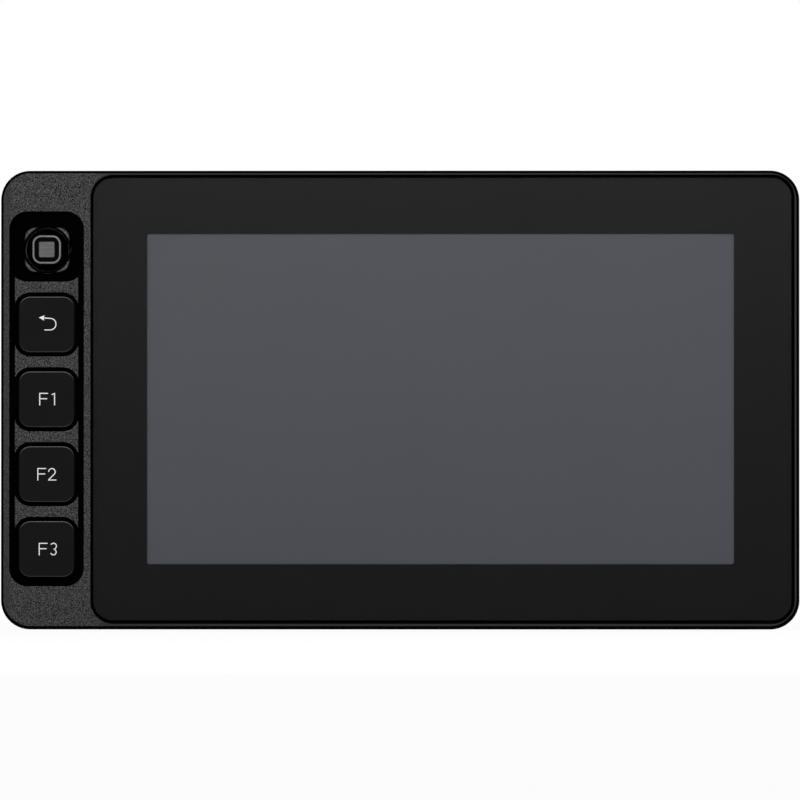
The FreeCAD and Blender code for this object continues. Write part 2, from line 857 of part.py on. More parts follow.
def make_display():
    low_x = active_x - lcd_width / 2
    low_z = glass_z - lcd_height / 2
    keep(box("lcd_cell", (low_x, lcd_y, low_z), lcd_width, S.lcd_thickness, lcd_height))
    at = (low_x, lcd_back_y, low_z + S.led_bar_height)
    keep(box("light_guide", at, lcd_width, S.guide_thickness, lcd_height - S.led_bar_height))
    keep(box("led_bar", (low_x, lcd_back_y, low_z), lcd_width, S.guide_thickness, S.led_bar_height))
    tray = new_body("backlight_tray")
    lip_y = lcd_y + S.tray_lip
    add_square(tray, "front", (active_x, lip_y, glass_z), tray_width, tray_height, frame_y - lip_y, 1)
    inside = 2 * S.tray_clearance
    room = guide_back_y - lip_y
    cut_square(tray, "front", (active_x, lip_y, glass_z), lcd_width + inside, lcd_height + inside, room, 1)
    keep(tray)
    frame = new_body("display_frame")
    at = (active_x, frame_y, glass_z)
    add_rounded(frame, "front", at, frame_width, frame_height, S.frame_corner, S.frame_thickness, 1)
    at = (NOTHING, frame_y, NOTHING)
    cut_round(frame, "front", at, small_screw_hole, S.frame_thickness, 1, frame_screw_spots)
    room = 2 * S.cable_slot_clearance
    at = (display_cable_x, frame_y, display_cable_z)
    slot_wide = S.display_cable_width + room
    cut_square(frame, "front", at, slot_wide, S.cable_thickness + room, S.frame_thickness, 1)
    keep(frame)
    at = (display_cable_x - S.display_cable_width / 2, frame_y, display_cable_z - S.cable_thickness / 2)
    keep(box("display_cable", at, S.display_cable_width, board_y - frame_y, S.cable_thickness))


def make_pan_screw():
    """A small pan head screw, its seat at the origin and its tip towards the screen."""
    body = new_body("pan_screw")
    shank = S.small_screw_diameter / 2
    head = S.small_screw_head / 2
    top = S.small_screw_head_height
    tip = -S.small_screw_length
    points = [(0, tip), (shank, tip), (shank, 0), (head, 0), (head, top), (0, top)]
    turn(body, "top", (NOTHING, NOTHING, NOTHING), "V_Axis", points)
    round_edges(body, edges_on(body, "Y", top), S.small_screw_round)
    sketch = sketch_on(body, "front", (NOTHING, top, NOTHING))
    hexagon(sketch, S.small_screw_hex)
    cut(body, sketch, "front", S.small_screw_hex_depth, -1)
    return body


def make_flat_screw(label, length):
    """A countersunk screw, its head flush with the origin and its tip towards the screen."""
    body = new_body(label)
    shank = S.screw_diameter / 2
    rim = screw_head / 2
    under = -S.screw_head_height
    points = [(0, 0), (0, -length), (shank, -length), (shank, under), (rim, -S.screw_rim), (rim, 0)]
    turn(body, "top", (NOTHING, NOTHING, NOTHING), "V_Axis", points)
    sketch = sketch_on(body, "front", (NOTHING, NOTHING, NOTHING))
    hexagon(sketch, S.screw_hex)
    cut(body, sketch, "front", S.screw_hex_depth, -1)
    return body


plunger_y = key_board_y - S.switch_height - S.plunger_proud
plunger_length = S.plunger_proud + S.plunger_inside
plunger_bore = S.plunger_diameter + 2 * S.plunger_clearance


def make_key(name):
    z = key_z[name]
    body = new_body(f"{name}_key")
    top_y = front_y + S.key_sink
    flange_y = floor_back_y + S.key_flange_gap
    flange_back_y = flange_y + S.key_flange_thickness
    at = (strip_x, top_y, z)
    add_rounded(body, "front", at, S.key_width, key_height, S.key_corner, flange_y - top_y, 1)
    round_edges(body, edges_on(body, "Y", top_y), S.key_edge)
    flange = (S.key_width + 2 * S.key_flange, key_height + 2 * S.key_flange)
    flange_corner = S.key_corner + S.key_flange
    at = (strip_x, flange_y, z)
    add_rounded(body, "front", at, *flange, flange_corner, S.key_flange_thickness, 1)
    at = (strip_x, flange_back_y, z)
    add_round(body, "front", at, S.key_stem_diameter, plunger_y - flange_back_y, 1)
    keep(body)
    plunger = new_body(f"{name}_plunger")
    add_round(plunger, "front", (strip_x, plunger_y, z), S.plunger_diameter, plunger_length, 1)
    keep(plunger)


def make_key_board(pan_screw):
    body = new_body("key_board")
    thick = S.key_board_thickness
    at = (key_board_x, key_board_y, middle_z)
    key_board_height = slot_height - 2 * S.key_board_trim
    add_square(body, "front", at, S.key_board_width, key_board_height, thick, 1)
    at = (NOTHING, key_board_y, NOTHING)
    cut_round(body, "front", at, small_screw_hole, thick, 1, key_post_spots)
    keep(body)
    group("key_board_screws", pan_screw, [(x, key_board_back_y, z) for x, z in key_post_spots])
    switch = new_body("key_switch")
    at = (NOTHING, -S.switch_height, NOTHING)
    add_square(switch, "front", at, S.switch_size, S.switch_size, S.switch_height, 1)
    cut_round(switch, "front", at, plunger_bore, S.plunger_bore_depth, 1)
    group("key_switches", switch, [(strip_x, key_board_y, key_z[name]) for name in KEY_NAMES])


def make_joystick_surround():
    bezel = new_body("joystick_bezel")
    lap = S.joystick_bezel_overlap
    at = (strip_x + lap / 2, floor_back_y, cell_z - S.cell_rise / 2 - S.strip_rise)
    thick = S.joystick_bezel_thickness
    tall = cell_height - S.cell_rise + 2 * lap
    add_rounded(bezel, "front", at, slot_width + lap, tall, S.slot_corner, thick, 1)
    cut_round(bezel, "front", (strip_x, floor_back_y, joystick_z), S.joystick_bezel_hole, thick, 1)
    keep(bezel)
    collar = new_body("joystick_collar")
    top_y = front_y + S.collar_sink
    tall = floor_back_y - top_y
    at = (strip_x, top_y, joystick_z)
    add_rounded(collar, "front", at, S.collar_size, S.collar_size, S.collar_corner, tall, 1)
    round_edges(collar, edges_on(collar, "Y", top_y), S.collar_edge)
    cut_round(collar, "front", at, S.collar_hole, tall, 1)
    keep(collar)


def rod(label, at, diameter, length, axis):
    """A plain cylinder from a point, towards the screen or upwards."""
    item = doc.addObject("Part::Cylinder", label)
    bind(item, "Radius", size_of(diameter) / 2)
    bind(item, "Height", length)
    turned(item, axis)
    place(item, at)
    return item


def ball(label, at, radius, lowest=-90):
    """A ball, or the part of it beyond a latitude, with its pole towards the screen."""
    item = doc.addObject("Part::Sphere", label)
    bind(item, "Radius", radius)
    bind(item, "Angle1", lowest)
    turned(item, "front")
    place(item, at)
    return item


def turned(item, axis):
    if axis == "front":
        item.Placement.Rotation = FreeCAD.Rotation(FreeCAD.Vector(1, 0, 0), 90)


def joined(label, kind, items):
    whole = doc.addObject(f"Part::{kind}", label)
    whole.Label = label
    if kind == "MultiFuse":
        whole.Shapes = items
    else:
        whole.Base, whole.Tool = items
    return whole


cap_top_y = front_y + S.cap_sink
core_top_y = cap_top_y + S.trim_proud
core_foot_y = core_top_y + S.cap_core
cap_under_y = core_foot_y + S.cap_base


def make_joystick_stick():
    pivot = (strip_x, pivot_y, joystick_z)
    inner_radius = S.dome_radius - S.dome_wall
    outer = ball("dome_outside", pivot, S.dome_radius, 90 - S.dome_half_angle)
    inner = ball("dome_inside", pivot, inner_radius)
    shell = joined("dome_shell", "Cut", (outer, inner))
    shell_y = pivot_y - inner_radius
    neck = rod("neck", (strip_x, shell_y, joystick_z), S.neck_diameter, shell_y - cap_under_y, "front")
    tail = (strip_x, pivot_y + S.stick_tail, joystick_z)
    reach = S.stick_tail + S.dome_radius - S.dome_wall / 2
    stem = rod("stem", tail, S.stick_diameter, reach, "front")
    keep(joined("joystick_stick", "MultiFuse", [shell, neck, stem]))


def make_joystick_cap():
    core_size = S.cap_size - 2 * S.trim_width
    core_corner = S.cap_corner - S.trim_width
    cap = new_body("joystick_cap")
    at = (strip_x, core_foot_y, joystick_z)
    add_rounded(cap, "front", at, S.cap_size, S.cap_size, S.cap_corner, S.cap_base, 1)
    at = (strip_x, core_top_y, joystick_z)
    add_rounded(cap, "front", at, core_size, core_size, core_corner, S.cap_core, 1)
    cut_rounded(cap, "front", at, S.insert_size, S.insert_size, S.insert_corner, S.insert_depth, 1)
    keep(cap)
    trim = new_body("joystick_trim")
    at = (strip_x, cap_top_y, joystick_z)
    tall = S.cap_core + S.trim_proud
    add_rounded(trim, "front", at, S.cap_size, S.cap_size, S.cap_corner, tall, 1)
    bevel_edges(trim, edges_on(trim, "Y", cap_top_y), S.insert_edge)
    cut_rounded(trim, "front", at, core_size, core_size, core_corner, tall, 1)
    keep(trim)
    insert = new_body("joystick_insert")
    at = (strip_x, core_top_y - S.insert_proud, joystick_z)
    tall = S.insert_depth + S.insert_proud
    add_rounded(insert, "front", at, S.insert_size, S.insert_size, S.insert_corner, tall, 1)
    bevel_edges(insert, edges_on(insert, "Y", core_top_y - S.insert_proud), S.insert_edge)
    keep(insert)


def make_gimbal():
    ring = new_body("gimbal_ring")
    bore = S.gimbal_pin + 2 * S.gimbal_pin_clearance
    half = S.gimbal_outer / 2
    at = (strip_x, pivot_y - S.gimbal_thickness / 2, joystick_z)
    add_round(ring, "front", at, S.gimbal_outer, S.gimbal_thickness, 1)
    cut_round(ring, "front", at, S.gimbal_inner, S.gimbal_thickness, 1)
    cut_round(ring, "side", (strip_x - half, pivot_y, joystick_z), bore, S.gimbal_outer, 1)
    cut_round(ring, "top", (strip_x, pivot_y, joystick_z - half), bore, S.gimbal_outer, 1)
    keep(ring)
    pivot = (strip_x, pivot_y, joystick_z)
    heart = ball("hub_ball", pivot, S.hub_radius)
    foot = (strip_x, pivot_y, joystick_z - S.hub_pin_reach)
    pins = rod("hub_pins", foot, S.gimbal_pin, 2 * S.hub_pin_reach, "up")
    whole = joined("hub_whole", "MultiFuse", [heart, pins])
    behind = (strip_x, pivot_y + S.hub_radius, joystick_z)
    guide = S.stick_diameter + 2 * S.gimbal_pin_clearance
    hole = rod("hub_hole", behind, guide, 2 * S.hub_radius, "front")
    keep(joined("gimbal_hub", "Cut", (whole, hole)))
    base = new_body("joystick_base")
    floor_y = key_board_y - S.base_floor
    add_square(base, "front", (strip_x, floor_y, joystick_z), S.base_size, S.base_size, S.base_floor, 1)
    cut_round(base, "front", (strip_x, floor_y, joystick_z), S.base_hole, S.base_floor, 1)
    post_top_y = pivot_y - S.gimbal_pin / 2 - S.base_post_over_pin
    edge = S.base_size / 2
    post_offset = edge - S.base_post_wall / 2
    pin_length = edge - half + S.base_pin_bite
    for side in (-1, 1):
        at = (strip_x + side * post_offset, floor_y, joystick_z)
        add_square(base, "front", at, S.base_post_wall, S.base_post_width, floor_y - post_top_y, -1)
        at = (strip_x + side * edge, pivot_y, joystick_z)
        add_round(base, "side", at, S.gimbal_pin, pin_length, -side)
    keep(base)
    switch = new_body("press_switch")
    at = (strip_x, key_board_y - S.press_switch_height, joystick_z)
    add_round(switch, "front", at, S.press_switch_diameter, S.press_switch_height, 1)
    keep(switch)


sdi_y = front_y + S.sdi_depth
power_y = front_y + S.power_depth
video_y = board_back_y + S.video_height / 2
phone_y = board_back_y + S.phone_body / 2
button_y = front_y + S.button_depth
cover_screw_z = S.block_wall + S.mount_boss_height / 2
pillar_x = inner_width / 2 - S.pillar_size / 2
cover_screw_spots = corners(pillar_x, cover_screw_z, S.body_height - cover_screw_z)
cover_screw_spots += corners(S.cover_screw_pitch / 2, cover_screw_z, S.body_height - cover_screw_z)


def cut_vents(body, z, into, side):
    """A row of slots in the top or bottom wall, out to the left or the right."""
    sketch = sketch_on(body, "top", (side * S.vent_start, mount_y, z))
    rounded_rectangle(sketch, ORIGIN[0], S.vent_width, S.vent_length, S.vent_width * S.slot_roundness)
    slot = cut(body, sketch, "top", S.block_wall, into)
    extent = (S.vent_count - 1) * S.vent_pitch
    row = repeat(body, slot, "LinearPattern", (sketch, ["H_Axis"]), "Direction", extent, S.vent_count)
    row.Reversed = side < 0


def make_rear_housing():
    body = new_body("rear_housing")
    at = (NOTHING, bezel_back_y, middle_z)
    add_rounded(body, "front", at, S.body_width, S.body_height, S.body_corner, S.plate_thickness, 1)
    round_edges(body, edges_on(body, "Y", plate_back_y), S.edge_round)
    deep = back_y - bezel_back_y
    add_rounded(body, "front", at, block_width, S.body_height, S.block_corner, deep, 1)
    round_edges(body, edges_on(body, "Y", back_y), S.block_round)
    at = (NOTHING, back_y, middle_z)
    inner_corner = S.block_corner - S.block_wall
    cut_rounded(body, "front", at, inner_width, inner_height, inner_corner, deep, -1)
    lap = 2 * (S.cover_inset - S.cover_gap)
    lap_corner = S.cover_corner + S.cover_gap
    seat = (block_width - lap, S.body_height - lap, lap_corner)
    cut_rounded(body, "front", at, *seat, S.cover_thickness, -1)
    # Corner pillars and mount bosses, with the bores of the cover screws
    tall = cover_y - bezel_back_y
    floor = (NOTHING, bezel_back_y, NOTHING)
    pillar_z = S.block_wall + S.pillar_size / 2
    pillars = corners(pillar_x, pillar_z, S.body_height - pillar_z)
    add_square(body, "front", floor, S.pillar_size, S.pillar_size, tall, 1, pillars)
    bosses = [(NOTHING, cover_screw_z), (NOTHING, S.body_height - cover_screw_z)]
    add_square(body, "front", floor, S.mount_boss_width, S.mount_boss_height, tall, 1, bosses)
    bore_length = S.cover_screw_length - S.cover_thickness + S.screw_tip_gap
    at = (NOTHING, cover_y, NOTHING)
    cut_round(body, "front", at, screw_hole, bore_length, -1, cover_screw_spots)
    cut_round(body, "top", (NOTHING, mount_y, NOTHING), S.insert_outer, S.insert_length, 1)
    cut_round(body, "top", (NOTHING, mount_y, S.body_height), S.insert_outer, S.insert_length, -1)
    # Countersunk holes in the wings
    at = (NOTHING, plate_back_y, NOTHING)
    cut_round(body, "front", at, screw_hole, S.plate_thickness, -1, housing_screw_spots)
    bevel_edges(body, edges_on(body, "Y", plate_back_y, is_round(screw_hole)), S.screw_head_height)
    # Holes for the connectors and the power button
    room = 2 * S.port_clearance
    jacks = [(NOTHING, sdi_in_z), (NOTHING, sdi_out_z)]
    at = (block_left_x, sdi_y, NOTHING)
    cut_round(body, "side", at, S.sdi_barrel + room, S.block_wall, 1, jacks)
    at = (block_left_x, power_y, S.power_rise)
    cut_round(body, "side", at, S.power_body + room, S.block_wall, 1)
    ports = [(NOTHING, video_in_z), (NOTHING, video_out_z)]
    at = (block_right_x, video_y, NOTHING)
    cut_square(body, "side", at, S.video_height + room, S.video_width + room, S.block_wall, -1, ports)
    at = (block_right_x, phone_y, S.phone_rise)
    cut_round(body, "side", at, S.phone_body + room, S.block_wall, -1)
    at = (S.button_x, button_y, S.body_height)
    button_hole = S.button_diameter + 2 * S.button_clearance
    cut_round(body, "top", at, button_hole, S.block_wall, -1)
    cut_vents(body, S.body_height, -1, -1)
    cut_vents(body, NOTHING, 1, -1)
    cut_vents(body, NOTHING, 1, 1)
    return keep(body)


def make_rear_cover():
    body = new_body("rear_cover")
    at = (NOTHING, cover_y, middle_z)
    lap = 2 * S.cover_inset
    plate = (block_width - lap, S.body_height - lap, S.cover_corner)
    add_rounded(body, "front", at, *plate, S.cover_thickness, 1)
    half_x = S.accessory_pitch_x / 2
    half_z = S.accessory_pitch_z / 2
    deep = S.cover_thickness + S.accessory_boss_height
    spots = corners(half_x, middle_z - half_z, middle_z + half_z)
    at = (NOTHING, cover_y, NOTHING)
    add_round(body, "front", at, S.accessory_boss, S.accessory_boss_height, -1, spots)
    at = (NOTHING, back_y, NOTHING)
    cut_round(body, "front", at, S.accessory_hole, deep, -1, spots)
    cut_round(body, "front", at, screw_hole, S.cover_thickness, -1, cover_screw_spots)
    bevel_edges(body, edges_on(body, "Y", back_y, is_round(screw_hole)), S.screw_head_height)
    extent = (S.grille_count - 1) * S.grille_pitch
    sketch = sketch_on(body, "front", (NOTHING, back_y, middle_z - extent / 2))
    end = S.grille_slot * S.slot_roundness
    rounded_rectangle(sketch, ORIGIN[0], S.grille_width, S.grille_slot, end)
    slot = cut(body, sketch, "front", S.cover_thickness, -1)
    repeat(body, slot, "LinearPattern", (sketch, ["V_Axis"]), "Direction", extent, S.grille_count)
    return keep(body)


def make_inserts():
    insert = new_body("thread_insert")
    at = (NOTHING, NOTHING, NOTHING)
    add_round(insert, "top", at, S.insert_outer, S.insert_length, 1)
    cut_round(insert, "top", at, S.insert_bore, S.insert_length, 1)
    spots = [(NOTHING, mount_y, NOTHING), (NOTHING, mount_y, S.body_height - S.insert_length)]
    group("thread_inserts", insert, spots)


fan_y = board_back_y + S.processor_height + S.heat_sink_base + S.heat_sink_fin
board_screw_z = board_height / 2 - S.board_screw_end
board_spots = corners(board_screw_x, middle_z - board_screw_z, middle_z + board_screw_z)


def make_main_board(pan_screw):
    board = new_body("main_board")
    at = (NOTHING, board_y, middle_z)
    thick = S.board_thickness
    add_rounded(board, "front", at, board_width, board_height, S.board_corner, thick, 1)
    at = (NOTHING, board_y, NOTHING)
    cut_round(board, "front", at, small_screw_hole, thick, 1, board_spots)
    keep(board)
    standoff = new_body("standoff")
    at = (NOTHING, NOTHING, NOTHING)
    tall = board_y - frame_back_y
    add_round(standoff, "front", at, S.standoff_diameter, tall, 1)
    cut_round(standoff, "front", at, small_screw_hole, tall, 1)
    group("board_standoffs", standoff, [(x, frame_back_y, z) for x, z in board_spots])
    group("board_screws", pan_screw, [(x, board_back_y, z) for x, z in board_spots])
    half = S.processor_size / 2
    at = (-half, board_back_y, middle_z - half)
    keep(box("processor", at, S.processor_size, S.processor_height, S.processor_size))


def make_heat_sink():
    body = new_body("heat_sink")
    wide = S.heat_sink_size
    sink_y = board_back_y + S.processor_height
    add_square(body, "front", (NOTHING, sink_y, middle_z), wide, wide, S.heat_sink_base, 1)
    extent = (S.heat_sink_fin_count - 1) * S.heat_sink_fin_pitch
    at = (-extent / 2, sink_y + S.heat_sink_base, middle_z)
    sketch = sketch_on(body, "front", at)
    rectangle(sketch, ORIGIN[0], S.heat_sink_fin_wall, wide)
    fin = pad(body, sketch, "front", S.heat_sink_fin, 1)
    repeat(body, fin, "LinearPattern", (sketch, ["H_Axis"]), "Direction", extent, S.heat_sink_fin_count)
    return keep(body)


def make_fan():
    frame = new_body("fan_frame")
    at = (NOTHING, fan_y, middle_z)
    add_rounded(frame, "front", at, S.fan_size, S.fan_size, S.fan_corner, S.fan_height, 1)
    cut_round(frame, "front", at, S.fan_bore, S.fan_height, 1)
    add_round(frame, "front", at, S.fan_hub, S.fan_base, 1)
    reach = (S.fan_size + S.fan_bore) / 2
    add_square(frame, "front", at, reach, S.fan_strut, S.fan_base, 1)
    add_square(frame, "front", at, S.fan_strut, reach, S.fan_base, 1)
    bearing = S.fan_shaft + 2 * S.fan_shaft_clearance
    cut_round(frame, "front", at, bearing, S.fan_base, 1)
    keep(frame)
    rotor = new_body("fan_rotor")
    hub_y = fan_y + S.fan_base + S.fan_hub_gap
    hub_height = S.fan_height - S.fan_base - S.fan_hub_gap - S.fan_rim_gap
    add_round(rotor, "front", (NOTHING, hub_y, middle_z), S.fan_hub, hub_height, 1)
    shaft_length = hub_y - fan_y
    add_round(rotor, "front", (NOTHING, hub_y, middle_z), S.fan_shaft, shaft_length, -1)
    half = hub_height / 2
    lean = S.fan_blade_lean / 2
    wall = S.fan_blade_wall / 2
    start = S.fan_hub / 2 - S.fan_hub_wall
    sketch = sketch_on(rotor, "side", (start, hub_y + half, middle_z))
    outline(sketch, [(-half, -lean - wall), (-half, wall - lean), (half, lean + wall), (half, lean - wall)])
    blade = pad(rotor, sketch, "side", S.fan_blade_reach - start, 1)
    axle = sketch_on(rotor, "front", (NOTHING, hub_y, middle_z))
    circle(axle, ORIGIN[0], S.fan_shaft)
    repeat(rotor, blade, "PolarPattern", (axle, ["N_Axis"]), "Axis", 360, S.fan_blade_count)
    return keep(rotor)


def make_sdi(label, z):
    body = new_body(label)
    at = (block_left_x, sdi_y, z)
    back = S.block_wall + S.sdi_shoulder_length
    shoulder = S.sdi_shoulder / 2
    barrel = S.sdi_barrel / 2
    bore = S.sdi_bore / 2
    tip = -S.sdi_length
    floor = S.sdi_bore_depth - S.sdi_length
    points = [(back, 0), (back, shoulder), (S.block_wall, shoulder), (S.block_wall, barrel)]
    points += [(tip, barrel), (tip, bore), (floor, bore), (floor, 0)]
    turn(body, "top", at, "H_Axis", points)
    lug_x = block_left_x - S.sdi_length + S.sdi_lug_setback
    inside = (barrel + bore) / 2
    for side in (-1, 1):
        foot = (lug_x, sdi_y, z + side * inside)
        add_round(body, "top", foot, S.sdi_lug_diameter, S.sdi_lug_span / 2 - inside, side)
    return keep(body)


def make_sdi_fittings():
    rises = (sdi_in_z, sdi_out_z)
    spots = [(block_left_x, sdi_y, z) for z in rises]
    nut = new_body("sdi_nut")
    sketch = sketch_on(nut, "side", (NOTHING, NOTHING, NOTHING))
    hexagon(sketch, S.sdi_nut)
    pad(nut, sketch, "side", S.sdi_nut_length, -1)
    bore = S.sdi_barrel + 2 * S.screw_clearance
    cut_round(nut, "side", (NOTHING, NOTHING, NOTHING), bore, S.sdi_nut_length, -1)
    group("sdi_nuts", nut, spots)
    floor = S.sdi_bore_depth - S.sdi_length
    insulator = new_body("sdi_insulator")
    add_round(insulator, "side", (floor, NOTHING, NOTHING), S.sdi_insulator, S.sdi_insulator_length, -1)
    cut_round(insulator, "side", (floor, NOTHING, NOTHING), S.sdi_contact, S.sdi_insulator_length, -1)
    group("sdi_insulators", insulator, spots)
    contact = new_body("sdi_contact")
    add_round(contact, "side", (floor, NOTHING, NOTHING), S.sdi_contact, S.sdi_contact_length, -1)
    tip = floor - S.sdi_contact_length
    deep = S.sdi_contact_length - S.sdi_contact_end
    cut_round(contact, "side", (tip, NOTHING, NOTHING), S.sdi_contact_bore, deep, 1)
    group("sdi_contacts", contact, spots)


def make_power_socket():
    body = new_body("power_socket")
    at = (block_left_x, power_y, S.power_rise)
    end = S.power_length - S.power_flange_length
    radius = S.power_body / 2
    rim = S.power_flange / 2
    bore = S.power_bore / 2
    face = -S.power_flange_length
    floor = S.power_bore_depth - S.power_flange_length
    points = [(end, 0), (end, radius), (0, radius), (0, rim)]
    points += [(face, rim), (face, bore), (floor, bore), (floor, 0)]
    turn(body, "top", at, "H_Axis", points)
    keep(body)
    pin = new_body("power_pin")
    add_round(pin, "side", (NOTHING, NOTHING, NOTHING), S.power_pin, S.power_pin_length, -1)
    half = S.power_pin_pitch / 2
    spots = [(block_left_x + floor, power_y, S.power_rise + side * half) for side in (-1, 1)]
    group("power_pins", pin, spots)


def video_outline(sketch, inset):
    """The keyed outline of the socket, both corners on the board's side cut off."""
    half_y = S.video_height / 2 - inset
    half_z = S.video_width / 2 - inset
    bevel = S.video_bevel
    points = [(half_y, -half_z), (half_y, half_z), (bevel - half_y, half_z), (-half_y, half_z - bevel)]
    points += [(-half_y, bevel - half_z), (bevel - half_y, -half_z)]
    outline(sketch, points)


def make_video(label, z):
    body = new_body(label)
    face_x = block_right_x - S.port_sink
    sketch = sketch_on(body, "side", (face_x, video_y, z))
    video_outline(sketch, NOTHING)
    pad(body, sketch, "side", S.video_length, -1)
    sketch = sketch_on(body, "side", (face_x, video_y, z))
    video_outline(sketch, S.video_wall)
    cut(body, sketch, "side", S.video_length - S.video_back, -1)
    return keep(body)


def make_video_tongues():
    long = S.video_length - S.video_back - S.video_tongue_setback
    at = (NOTHING, -S.video_tongue_height / 2, -S.video_tongue_width / 2)
    tongue = box("video_tongue", at, long, S.video_tongue_height, S.video_tongue_width)
    foot_x = block_right_x - S.port_sink - S.video_length + S.video_back
    half_y = S.video_tongue_height / 2
    half_z = S.video_tongue_width / 2
    spots = [(foot_x, video_y - half_y, z - half_z) for z in (video_in_z, video_out_z)]
    group("video_tongues", tongue, spots)


def make_phone_jack():
    body = new_body("headphone_jack")
    at = (block_right_x, phone_y, S.phone_rise)
    face = S.phone_flange_length
    rim = S.phone_flange / 2
    radius = S.phone_body / 2
    bore = S.phone_bore / 2
    end = face - S.phone_length
    floor = end + S.phone_end
    points = [(face, bore), (face, rim), (0, rim), (0, radius)]
    points += [(end, radius), (end, 0), (floor, 0), (floor, bore)]
    turn(body, "top", at, "H_Axis", points)
    return keep(body)


def make_power_button():
    body = new_body("power_button")
    top_z = S.body_height - S.button_sink
    flange_z = S.body_height - S.block_wall - S.button_flange_gap
    flange_foot_z = flange_z - S.button_flange_thickness
    plunger_z = button_switch_z + S.plunger_proud
    at = (S.button_x, button_y, top_z)
    add_round(body, "top", at, S.button_diameter, top_z - flange_z, -1)
    round_edges(body, edges_on(body, "Z", top_z), S.button_edge)
    at = (S.button_x, button_y, flange_z)
    add_round(body, "top", at, S.button_flange, S.button_flange_thickness, -1)
    at = (S.button_x, button_y, flange_foot_z)
    add_round(body, "top", at, S.key_stem_diameter, flange_foot_z - plunger_z, -1)
    keep(body)
    plunger = new_body("power_plunger")
    at = (S.button_x, button_y, plunger_z)
    add_round(plunger, "top", at, S.plunger_diameter, plunger_length, -1)
    keep(plunger)
    switch = new_body("power_switch")
    foot_z = button_switch_z - S.button_switch_height
    at = (S.button_x, board_back_y + S.button_switch_depth / 2, foot_z)
    wide = S.button_switch_width
    add_square(switch, "top", at, wide, S.button_switch_depth, S.button_switch_height, 1)
    at = (S.button_x, button_y, button_switch_z)
    cut_round(switch, "top", at, plunger_bore, S.plunger_bore_depth, -1)
    keep(switch)


def make_key_cable():
    """A flat cable from the back of the key board, bent once to the front of the main board."""
    edge_x = left_x + S.key_board_inset + S.key_board_width
    start_x = edge_x - S.key_cable_lap
    end_x = -board_width / 2 + S.key_cable_inset + S.cable_thickness
    body = new_body("key_cable")
    sketch = sketch_on(body, "top", (NOTHING, NOTHING, key_cable_z - S.key_cable_width / 2))
    thick = S.cable_thickness
    low = key_board_back_y
    points = [(start_x, low), (end_x, low), (end_x, board_y), (end_x - thick, board_y)]
    points += [(end_x - thick, low + thick), (start_x, low + thick)]
    outline(sketch, points)
    pad(body, sketch, "top", S.key_cable_width, 1)
    return keep(body)


def make_all():
    pan_screw = make_pan_screw()
    housing_screw = make_flat_screw("housing_screw", S.housing_screw_length)
    cover_screw = make_flat_screw("cover_screw", S.cover_screw_length)
    make_front_housing()
    make_glass()
    make_display()
    group("frame_screws", pan_screw, [(x, frame_back_y, z) for x, z in frame_screw_spots])
    for name in KEY_NAMES:
        make_key(name)
    make_key_board(pan_screw)
    make_joystick_surround()
    make_joystick_stick()
    make_joystick_cap()
    make_gimbal()
    make_rear_housing()
    make_rear_cover()
    make_inserts()
    group("housing_screws", housing_screw, [(x, plate_back_y, z) for x, z in housing_screw_spots])
    group("cover_screws", cover_screw, [(x, back_y, z) for x, z in cover_screw_spots])
    make_main_board(pan_screw)
    make_heat_sink()
    make_fan()
    make_sdi("sdi_in_jack", sdi_in_z)
    make_sdi("sdi_out_jack", sdi_out_z)
    make_sdi_fittings()
    make_power_socket()
    make_video("video_in_port", video_in_z)
    make_video("video_out_port", video_out_z)
    make_video_tongues()
    make_phone_jack()
    make_power_button()
    make_key_cable()
    doc.recompute()


def write_all():
    for item in doc.Objects:
        if "Invalid" in item.State or "Error" in item.State:
            raise RuntimeError(f"{item.Label} did not build")
        if item.TypeId == "PartDesign::Pocket":
            if item.Shape.Volume > item.BaseFeature.Shape.Volume - LEAST_CUT:
                raise RuntimeError(f"{item.Label} takes nothing away")
    os.makedirs("parts", exist_ok=True)
    for piece in pieces:
        if piece.Shape.isNull() or not piece.Shape.isValid():
            raise RuntimeError(f"{piece.Label} has no valid shape")
        piece.Shape.exportStep(f"parts/{piece.Label}.step")


make_all()
write_all()
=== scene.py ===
"""Looks of a camera field monitor: a finish for each piece, the key legends, the stage and the camera.

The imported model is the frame, in metres: X to the right of the screen, Y from the screen to the back,
Z up. The CAD pieces keep their shapes and get node materials, and the printed legends are new pieces.
"""

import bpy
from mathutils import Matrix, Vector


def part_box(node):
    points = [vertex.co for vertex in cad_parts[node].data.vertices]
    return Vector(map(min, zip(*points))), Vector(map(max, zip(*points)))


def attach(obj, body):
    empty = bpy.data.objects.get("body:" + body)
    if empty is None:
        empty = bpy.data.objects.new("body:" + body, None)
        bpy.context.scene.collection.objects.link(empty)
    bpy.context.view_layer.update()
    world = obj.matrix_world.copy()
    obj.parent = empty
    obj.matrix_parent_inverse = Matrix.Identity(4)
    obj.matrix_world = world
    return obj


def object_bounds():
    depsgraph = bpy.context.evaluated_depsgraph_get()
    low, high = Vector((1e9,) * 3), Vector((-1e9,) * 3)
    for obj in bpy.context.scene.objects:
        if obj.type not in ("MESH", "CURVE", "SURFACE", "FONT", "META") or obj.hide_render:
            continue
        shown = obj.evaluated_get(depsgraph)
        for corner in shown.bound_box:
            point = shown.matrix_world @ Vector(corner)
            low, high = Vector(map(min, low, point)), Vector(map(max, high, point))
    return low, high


bl_info = {
    "name": "Field Monitor Looks",
    "version": (1, 0, 0),
    "blender": (4, 5, 0),
    "location": "View3D > Sidebar > Monitor",
    "description": "Finishes, key legends, stage and camera for a camera field monitor",
    "category": "Object",
}

import math

import bmesh
import bpy
from mathutils import Matrix, Vector

